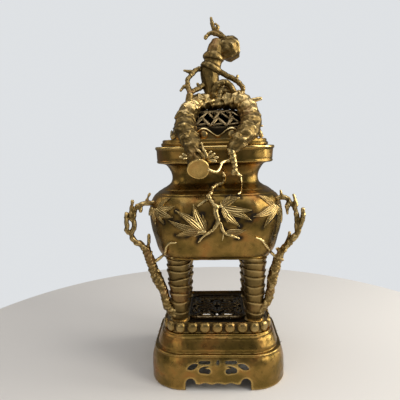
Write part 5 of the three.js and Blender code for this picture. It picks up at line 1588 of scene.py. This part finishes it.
arch_rows = [by_collar(*row) for row in (
    (19, 8, -17, 5.5), (24, 8, -9.5, 8.4), (33, 4, 0, 11), (42, -6, 10, 13.2))]
arch_rows += [by_crown(*row) for row in (
    (46, -50, -18, 13.2), (43.5, -37, -4, 12.7), (35.5, -24, 8, 11.9), (20, -16, 11.6, 12.7),
    (5, -14, 11.5, 12.8), (-9, -17, 10.6, 11.9), (-21, -25, 7, 10.8), (-31, -38, -2, 12.2),
    (-36, -51, -16, 13))]
arch_rows += [by_collar(*row) for row in (
    (-35, -3.5, 10.5, 13.2), (-29.5, 5, -0.5, 12.2), (-25, 11, -10, 11.6), (-21.5, 15, -22, 11.6),
    (-19.5, 20, -32, 12.3), (-19, 27.6, -36.3, 12.2))]
BARK_HIGH = 0.7  # how far the bark's relief stands out of the trunk
arch_rows = [(x, y, z, radius - BARK_HIGH) for x, y, z, radius in arch_rows]

# %% [markdown]
# The arch's own features are laid on the trunk: bands of sheaths, spurs and knots, a small fold on its top, a
# cut stub, two root feet that grip the plate, and a fan of ridges over the sawn face. The spurs are short
# pointed shoots.

# %% Spurs
def spurs_on(rows, count, radius, long, seed):
    """Pointed spurs that stand out of a tube, leaning towards its end."""
    draw = np.random.default_rng(seed)
    path = smooth_path(rows, 1.0)
    parts = []
    for i in np.linspace(6, len(path) - 8, count).astype(int):
        run = path[i + 2, :3] - path[i - 2, :3]
        run /= np.linalg.norm(run)
        way = draw.normal(size=3) + np.array([0, -0.6, 0.8])
        way -= run * (way @ run)
        way = way / np.linalg.norm(way) + 0.35 * run
        root = path[i, :3] + way * path[i, 3] * 0.55
        tip = path[i, :3] + way * (path[i, 3] + long * draw.uniform(0.4, 1.0))
        spur = [(*root, radius * 1.4), (*(root + tip) / 2, radius), (*tip, 0.35 * radius)]
        parts.append(swept(spur, None, 0.5, 14))
    return parts


# %% [markdown]
# The trunk itself comes first. Its relief adds up from broad bands, close wrinkles, fibres, rings and lumps,
# and the other parts are swept or turned beside it.

# %% The arch's parts
def arch_parts():
    total = tube_length(arch_rows)
    bands = sheaths(total, 19, 1.5, 401, 0.3, 0.7, 0.25)
    wrinkles = sheaths(total, 5, 0.5, 402, 0.6, 1.2, 0.4)

    def relief(length, angle, radius):
        fibres = 0.16 * np.sin(13 * angle + 0.12 * length)
        rings = 0.4 * np.sin(0.5 * length + 0.9 * np.sin(angle + 0.1 * length))
        lumps = 0.4 * np.sin(3 * angle + length / 11) * np.sin(length / 9)
        return bands(length, angle, radius) + wrinkles(length, angle, radius) + fibres + rings + lumps - 0.5

    parts = [swept(arch_rows, relief, 0.6, 96, (True, False))]
    parts += spurs_on(arch_rows, 7, 2.4, 3.6, 403)
    parts += knots_along(arch_rows[1:-1], 3, 3.2, 404, 0.75)
    fold = [by_crown(1, -17, 17, 5.0), by_crown(8, -18, 25, 5.8), by_crown(16, -18, 25, 5.6),
            by_crown(25, -18, 15, 5.2)]
    parts.append(swept(fold, sheaths(40, 12, 0.8, 409, 0.3, 0.8), 0.6, 40))
    stub = [by_crown(38, -26, 8, 3.2), by_crown(49, -33, 8.5, 2.7), by_crown(60.5, -33, 10, 2.3)]
    parts.append(branch_tube(stub, 5, 0.5, 405, 18))
    feet = [
        [by_collar(46, -9, 16, 4.2), by_collar(53, -12, 11, 3.0), by_collar(57, -14, 5, 2.6),
         by_collar(59, -16, 2, 3.0)],
        [by_collar(-38, -6, 16, 4.2), by_collar(-46, -12, 11, 3.0), by_collar(-49, -14, 5, 2.6),
         by_collar(-52, -16, 2, 3.0)],
    ]
    parts += [branch_tube(foot, 4, 0.5, 406 + i, 18) for i, foot in enumerate(feet)]
    fan = [
        [by_collar(-29, 22, -13, 1.6), by_collar(-24, 25, -18.5, 1.9), by_collar(-17, 26.5, -25, 1.6)],
        [by_collar(-23, 23, -9, 1.6), by_collar(-17.5, 25.2, -16, 2.0), by_collar(-11, 25.5, -24, 1.8)],
        [by_collar(-15, 20, -6, 1.6), by_collar(-12.5, 24, -14, 2.0), by_collar(-8, 25, -23, 2.0)],
    ]
    return parts + [swept(ridge, None, 0.6, 14) for ridge in fan]


# %% [markdown]
# All parts are fused, pressed off the lid and cut back behind the sawn face. What faces up and forward near
# the top is painted brighter, a painted highlight where light falls on the arch.

# %% The arch's casting
SAWN_RADIUS = 13.2
sawn_at = np.array(arch_rows[-1][:3])
sawn_way = sawn_at - np.array(arch_rows[-2][:3])
sawn_way /= np.linalg.norm(sawn_way)


def behind_saw(points):
    """Presses the trunk's own end to 1.5 mm behind the sawn face, so that it never shows through."""
    off = points - sawn_at
    past = off @ sawn_way
    reach = np.linalg.norm(off - past[:, None] * sawn_way, axis=1)
    over = np.where((reach < SAWN_RADIUS - 0.6) & (past < 2), np.maximum(past + 1.5, 0), 0)
    return points - over[:, None] * sawn_way


def painted_top_highlight(mesh, amount=0.34):
    """A painted highlight: less darkening on what faces up and forward, most near the top."""
    places, normals = places_and_normals(mesh)
    facing = np.clip(0.35 * normals[:, 2] - normals[:, 1] + 0.2, 0, 1)
    return -amount * facing * np.clip((places[:, 2] - crown + 12) / 18, 0.05, 1)


arch_mesh = fused("trunk_arch", arch_parts(), 0.7, 0.3, 0.0, 410,
                  (off_collar, off_plate, off_crown, behind_saw), 4)
place_piece("trunk_arch", arch_mesh, "lid", "bark_bronze", "handle_arch",
            wear={**BARK_WEAR, "fine_mm": 0.5, "broad_mm": 1.8, "even": 0.5}, shade=painted_top_highlight(arch_mesh))

# %% [markdown]
# Beside the sawn face the shoots were cut off too, and their stubs stick out as two small stars. They are
# the first thing a cloth meets, so they carry the rubbed finish and are a casting of their own here.

# %% The stars of cut shoots
def cut_shoots(root, tips, thick):
    """Short rays from one root, each through (x, forward, up) places by the collar."""
    rays = []
    for tip in tips:
        half_way = [(root[k] + tip[k]) / 2 for k in range(3)]
        half_way[1] += 1.0
        rays.append(swept([by_collar(*root, 1.5 * thick), by_collar(*half_way, 1.1 * thick),
                           by_collar(*tip, 0.75 * thick)], None, 0.5, 14))
    return rays


stars = cut_shoots((-11, 20.5, -25), ((-4, 25, -15.6), (4, 24, -22.4), (-11, 26, -14), (0, 26, -18),
                                      (1.5, 25, -27)), 1.9)
stars += cut_shoots((-29, 17, -23), ((-41, 20, -21), (-37.5, 21.5, -17.5), (-36, 24, -23.5)), 1.5)
place_piece("cut_shoots", fused("cut_shoots", stars, 0.5, 0.1, 0.0, 411), "lid", "bright_bronze",
            wear=CREEPER_WEAR)

# %% [markdown]
# The sawn face is flat and polished, with growth rings and a slightly raised rim.

# %% The sawn face
def sawn_face():
    profile = [(-3.9, SAWN_RADIUS - 2.4), (-1.6, SAWN_RADIUS - 0.2), (-0.7, SAWN_RADIUS),
               (0.0, SAWN_RADIUS - 0.5), (0.1, SAWN_RADIUS - 1.2), (-0.25, SAWN_RADIUS - 2.0),
               (-0.3, SAWN_RADIUS * 0.6), (-0.2, SAWN_RADIUS * 0.4), (-0.25, SAWN_RADIUS * 0.2), (-0.2, 0.3)]

    def grain(distance, angle, reach):
        return 0.03 * reach * np.sin(3 * angle + 1) * (reach > 5)

    points, faces = turned(sawn_at, sawn_at + sawn_way, profile, 72, grain)
    return outward(new_mesh("sawn_face", points, faces))


place_piece("sawn_face", sawn_face(), "lid", "cast_bronze", sharp=50,
            wear={"fine_mm": 2.0, "broad_mm": 4.0, "even": 0.72})

# %% [markdown]
# ## The finial
#
# A bamboo stump stands on the arch. Its two joints flare into rims. On top leans a gnarled head, hollow at
# its right end, and twigs run out and down on both sides.

# %% The stump
stump_rows = [by_crown(*row) for row in (
    (-2, -18, 20, 9), (-3, -17, 28, 10.6), (-4, -16, 36, 11.6), (-5, -15, 46, 11.8), (-4.5, -14, 49.5, 12.2),
    (-3.5, -14, 51.5, 15), (-2.5, -13.5, 54.5, 14.6), (-1.5, -13, 57, 11.8), (0, -12, 63, 12.4),
    (0.5, -12, 65.5, 14.2), (1.2, -11.8, 68, 13.8), (2, -11, 70.5, 11.4), (4, -10, 77, 11.6),
    (5, -9, 82, 10.5), (6, -9, 87, 8))]


def stump_relief(length, angle, radius):
    fibres = 0.12 * np.sin(15 * angle + 0.04 * length) + 0.1 * np.sin(26 * angle)
    return fibres + 0.25 * np.sin(3 * angle + 0.3 * length)


stump_parts = [swept(stump_rows, stump_relief, 0.6, 72)] + knots_along(stump_rows[8:], 2, 2.0, 421, 0.9)
stump = fused("jointed_stump", stump_parts, 0.6, 0.1, 0.0, 422, ease=3)
STUMP_WEAR = {**BARK_WEAR, "even": 0.5}
place_piece("jointed_stump", stump, "lid", "bark_bronze", "bamboo_stump", wear=STUMP_WEAR)

# %% [markdown]
# The head is a hollow burl, turned as one closed skin that folds back into its own hollow, and then lumped.

# %% The head
def stump_head():
    start, end = np.array(by_crown(4, -8.4, 77.5, 0)[:3]), np.array(by_crown(33, -5, 80.5, 0)[:3])
    profile = [(0, 6), (1.5, 9), (5, 12.0), (9, 14.2), (14, 15.8), (19, 16.2), (24, 15.4), (27.5, 13.8),
               (29.6, 12.4), (30.2, 11.0), (29.4, 9.6), (26.5, 8.0), (23.5, 5.6), (21.8, 3.0), (21.4, 0.6)]

    def relief(distance, angle, reach):
        outside = reach > 10
        ridges = 0.8 * np.sin(7 * angle + 0.25 * distance) + 0.5 * np.sin(4 * angle - 0.3 * distance)
        return outside * (ridges - 0.6)

    parts = [turned(start, end, profile, 96, relief)]
    axis = [(*start + (end - start) * share, radius)
            for share, radius in ((0.1, 9), (0.4, 13.5), (0.7, 14), (0.9, 12))]
    parts += knots_along(axis, 9, 4.6, 431, 0.85)
    return fused("gnarled_head", parts, 0.65, 0.35, 0.03, 432, ease=3)


place_piece("gnarled_head", stump_head(), "lid", "bark_bronze", "stump_head", wear=STUMP_WEAR)

# %% [markdown]
# The twigs and roots of the finial are tubes through a few places each, fused where they fork.

# %% Twigs and branches
def twig_piece(name, tubes, slot, seed, spacing=6.0, flare=0.5, pellets=5, keep_off=(), place=by_crown):
    parts = []
    for i, tube in enumerate(tubes):
        rows = [place(*row) for row in tube]
        parts.append(branch_tube(rows, spacing, flare, seed + i, 20))
        parts += knots_along(rows, pellets, 0.65 * rows[1][3], seed + 40 + i)
    piece = f"knotted_{name}"
    mesh = fused(piece, parts, 0.55, 0.15, 0.0, seed + 80, keep_off, 3)
    place_piece(piece, mesh, "lid", slot, name, wear=STUMP_WEAR if slot == "bark_bronze" else CREEPER_WEAR)


twig_piece("top_twig", [
    [(19, -6, 90, 2.9), (15, -6, 93.5, 2.8), (10, -6, 99, 2.8), (5, -6, 102, 2.7), (1, -6, 107, 2.6),
     (-2, -6, 119.2, 1.8)],
    [(5, -6, 102, 2), (7, -6, 107.5, 1.8), (4, -6, 112, 1.3)],
    [(14, -6, 94, 2.6), (6, -7, 97.5, 2.7), (0, -7, 100, 2.5), (-5, -7, 98.5, 2.3), (-10, -8, 93, 2.4)],
], "bark_bronze", 500)

twig_piece("left_branch", [
    [(-8, -15, 52, 3), (-15, -17, 52.5, 3), (-23, -20, 50, 3), (-28, -24, 44, 2.9), (-33, -28, 37, 2.9),
     (-33, -31, 29, 3), (-30, -35, 20, 3.6), (-31, -38, 12, 4.5), (-31, -38, 3, 5)],
    [(-26, -22, 47, 2.4), (-32, -22, 48.5, 2), (-38, -22, 50, 1.5)],
    [(-33, -30, 29, 2.3), (-38, -32, 27.5, 2.1), (-42, -34, 22.5, 1.7)],
    [(-9, -19, 33, 3.5), (-18, -24, 27, 3.3), (-25, -29, 23, 3.2), (-31, -35, 20, 3)],
    [(-18, -24, 27, 2.4), (-21, -23, 33, 1.6)],
], "bark_bronze", 520)

twig_piece("right_branch", [
    [(4, -13, 50, 3.5), (10, -14, 48, 3.4), (17, -16, 43, 3.4), (25, -18, 39, 3.4), (33, -20, 33, 3.2),
     (38, -23, 26, 2.8), (36, -24, 14, 2.8)],
    [(29, -19, 36, 2.2), (32, -17, 42.5, 1.5)],
], "bark_bronze", 540)

twig_piece("root_loop", [
    [(-1, -26, 16, 4.6), (3, -30, 26, 4.2), (9, -30, 31.5, 4.0), (16, -28, 32, 4.0), (23, -26, 27, 4.0),
     (28, -22, 16, 4.4)],
], "bark_bronze", 560)

# %% [markdown]
# A forked root hangs from the arch's right foot in front of the neck, and a thin one curls across to it from
# the sawn trunk. They move with the lid, so nothing joins them to the vine on the vessel.

# %% Hanging roots
twig_piece("tail_root", [
    [(19.5, 10, -14, 5.0), (21, 10, -22, 4.6), (23, 9.5, -29, 3.8), (24, 9, -36, 2.8),
     (23, 8.5, -43.5, 1.7)],
    [(24, 9, -36, 2), (27.5, 8.5, -43, 1.7), (32, 8.5, -45.5, 1.3)],
], "bright_bronze", 580, 5.0, 0.6, 4, (off_collar,), by_collar)

twig_piece("root_curl", [
    [(-8, 26, -36, 1.8), (2, 22, -39.5, 1.6), (6, 18, -35, 1.5), (8, 15, -30, 1.5), (13, 12, -27, 1.5),
     (21, 10, -26, 1.6)],
], "bright_bronze", 600, 4.0, 0.3, 3, place=by_collar)

# %% [markdown]
# ## The studio
#
# A plain pale floor, two windows to the right, a weaker one and a soft fill to the left, a large light
# overhead, and a pale room that only the camera sees at full strength. Polished metal shows what stands round
# it, so the lamps are large panels.

# %% Floor and room
def plain_finish(name, hex_code, roughness):
    material = bpy.data.materials.new(name)
    material.use_nodes = True
    shader = material.node_tree.nodes["Principled BSDF"]
    shader.inputs["Base Color"].default_value = linear(hex_code)
    shader.inputs["Roughness"].default_value = roughness
    return material


TABLE_RADIUS = 0.48
turns = [k * math.pi / 128 for k in range(256)]
rim = [(TABLE_RADIUS * math.cos(turn), TABLE_RADIUS * math.sin(turn), 0) for turn in turns]
floor_mesh = bpy.data.meshes.new("floor")
floor_mesh.from_pydata(rim, [], [tuple(range(256))])
floor_mesh.materials.append(plain_finish("pale_floor", "#dcd9d4", 0.8))
floor = bpy.data.objects.new("floor", floor_mesh)
bpy.context.scene.collection.objects.link(floor)

ROOM_LIGHT = 0.2  # strength of the room as a light
ROOM_SEEN = 0.86  # strength of the room as a backdrop
world = bpy.data.worlds.new("room")
bpy.context.scene.world = world
world.use_nodes = True
room = world.node_tree
background = room.nodes["Background"]
rays = room.nodes.new("ShaderNodeLightPath")
seen = add_node(room, "ShaderNodeMapRange", {"To Min": ROOM_LIGHT, "To Max": ROOM_SEEN},
                {"Value": rays.outputs["Is Camera Ray"]})
background.inputs["Color"].default_value = linear("#eef1f4")
room.links.new(seen, background.inputs["Strength"])


# %% [markdown]
# Each lamp is a large panel turned towards the middle of the burner. The powers are low: together they light
# a grey card about as bright as it is written.

# %% Lamps
def panel_lamp(name, place, aim, width, height, power, hex_code):
    """A rectangular lamp at a place, turned towards a point. Metres and watts."""
    lamp = bpy.data.lights.new(name, "AREA")
    lamp.shape = "RECTANGLE"
    lamp.size = width
    lamp.size_y = height
    lamp.energy = power
    lamp.color = linear(hex_code)[:3]
    holder = bpy.data.objects.new(name, lamp)
    holder.location = place
    holder.rotation_euler = (Vector(aim) - Vector(place)).to_track_quat("-Z", "Y").to_euler()
    bpy.context.scene.collection.objects.link(holder)


AIM = (0, 0, 0.25)
panel_lamp("window_right", (1.15, -0.7, 0.8), AIM, 0.6, 1.1, 11.7, "#fffaf0")
panel_lamp("window_far_right", (1.3, 0.05, 0.5), AIM, 0.5, 0.9, 13.5, "#fffaf0")
panel_lamp("window_far_left", (-1.2, 0.1, 1.1), AIM, 0.6, 0.9, 2.6, "#fff6e6")
panel_lamp("fill_left", (-0.9, -1.3, 0.6), AIM, 0.9, 0.9, 2.9, "#fff3e0")
panel_lamp("ceiling", (0.2, -0.35, 1.9), AIM, 2.0, 1.5, 17, "#f8f8ff")

# %% [markdown]
# The camera stands where the photographer stood: 0.56 m in front of the burner's middle, at the height of the
# lid, looking a little down and held slightly tilted.

# %% The camera
CAMERA_AT = Vector((0, -560, 307))
PITCH = math.radians(7.1)
YAW = math.radians(2.2)
ROLL = math.radians(1.2)
SENSOR = 36
FOCAL_PIXELS = 401
PICTURE_PIXELS = 400

camera_data = bpy.data.cameras.new("camera")
camera_data.sensor_width = SENSOR
camera_data.lens = SENSOR * FOCAL_PIXELS / PICTURE_PIXELS
camera = bpy.data.objects.new("camera", camera_data)
forward = Vector((-math.sin(YAW) * math.cos(PITCH), math.cos(YAW) * math.cos(PITCH), -math.sin(PITCH)))
level_right = Vector((math.cos(YAW), math.sin(YAW), 0))
upright = level_right.cross(forward)
right = level_right * math.cos(ROLL) - upright * math.sin(ROLL)
up = upright * math.cos(ROLL) + level_right * math.sin(ROLL)
aim = Matrix((right, up, -forward)).transposed().to_4x4()
camera.matrix_world = Matrix.Translation((CAMERA_AT + Vector(middle)) * MM) @ aim
bpy.context.scene.collection.objects.link(camera)
bpy.context.scene.camera = camera
bpy.context.scene.view_settings.view_transform = "Standard"
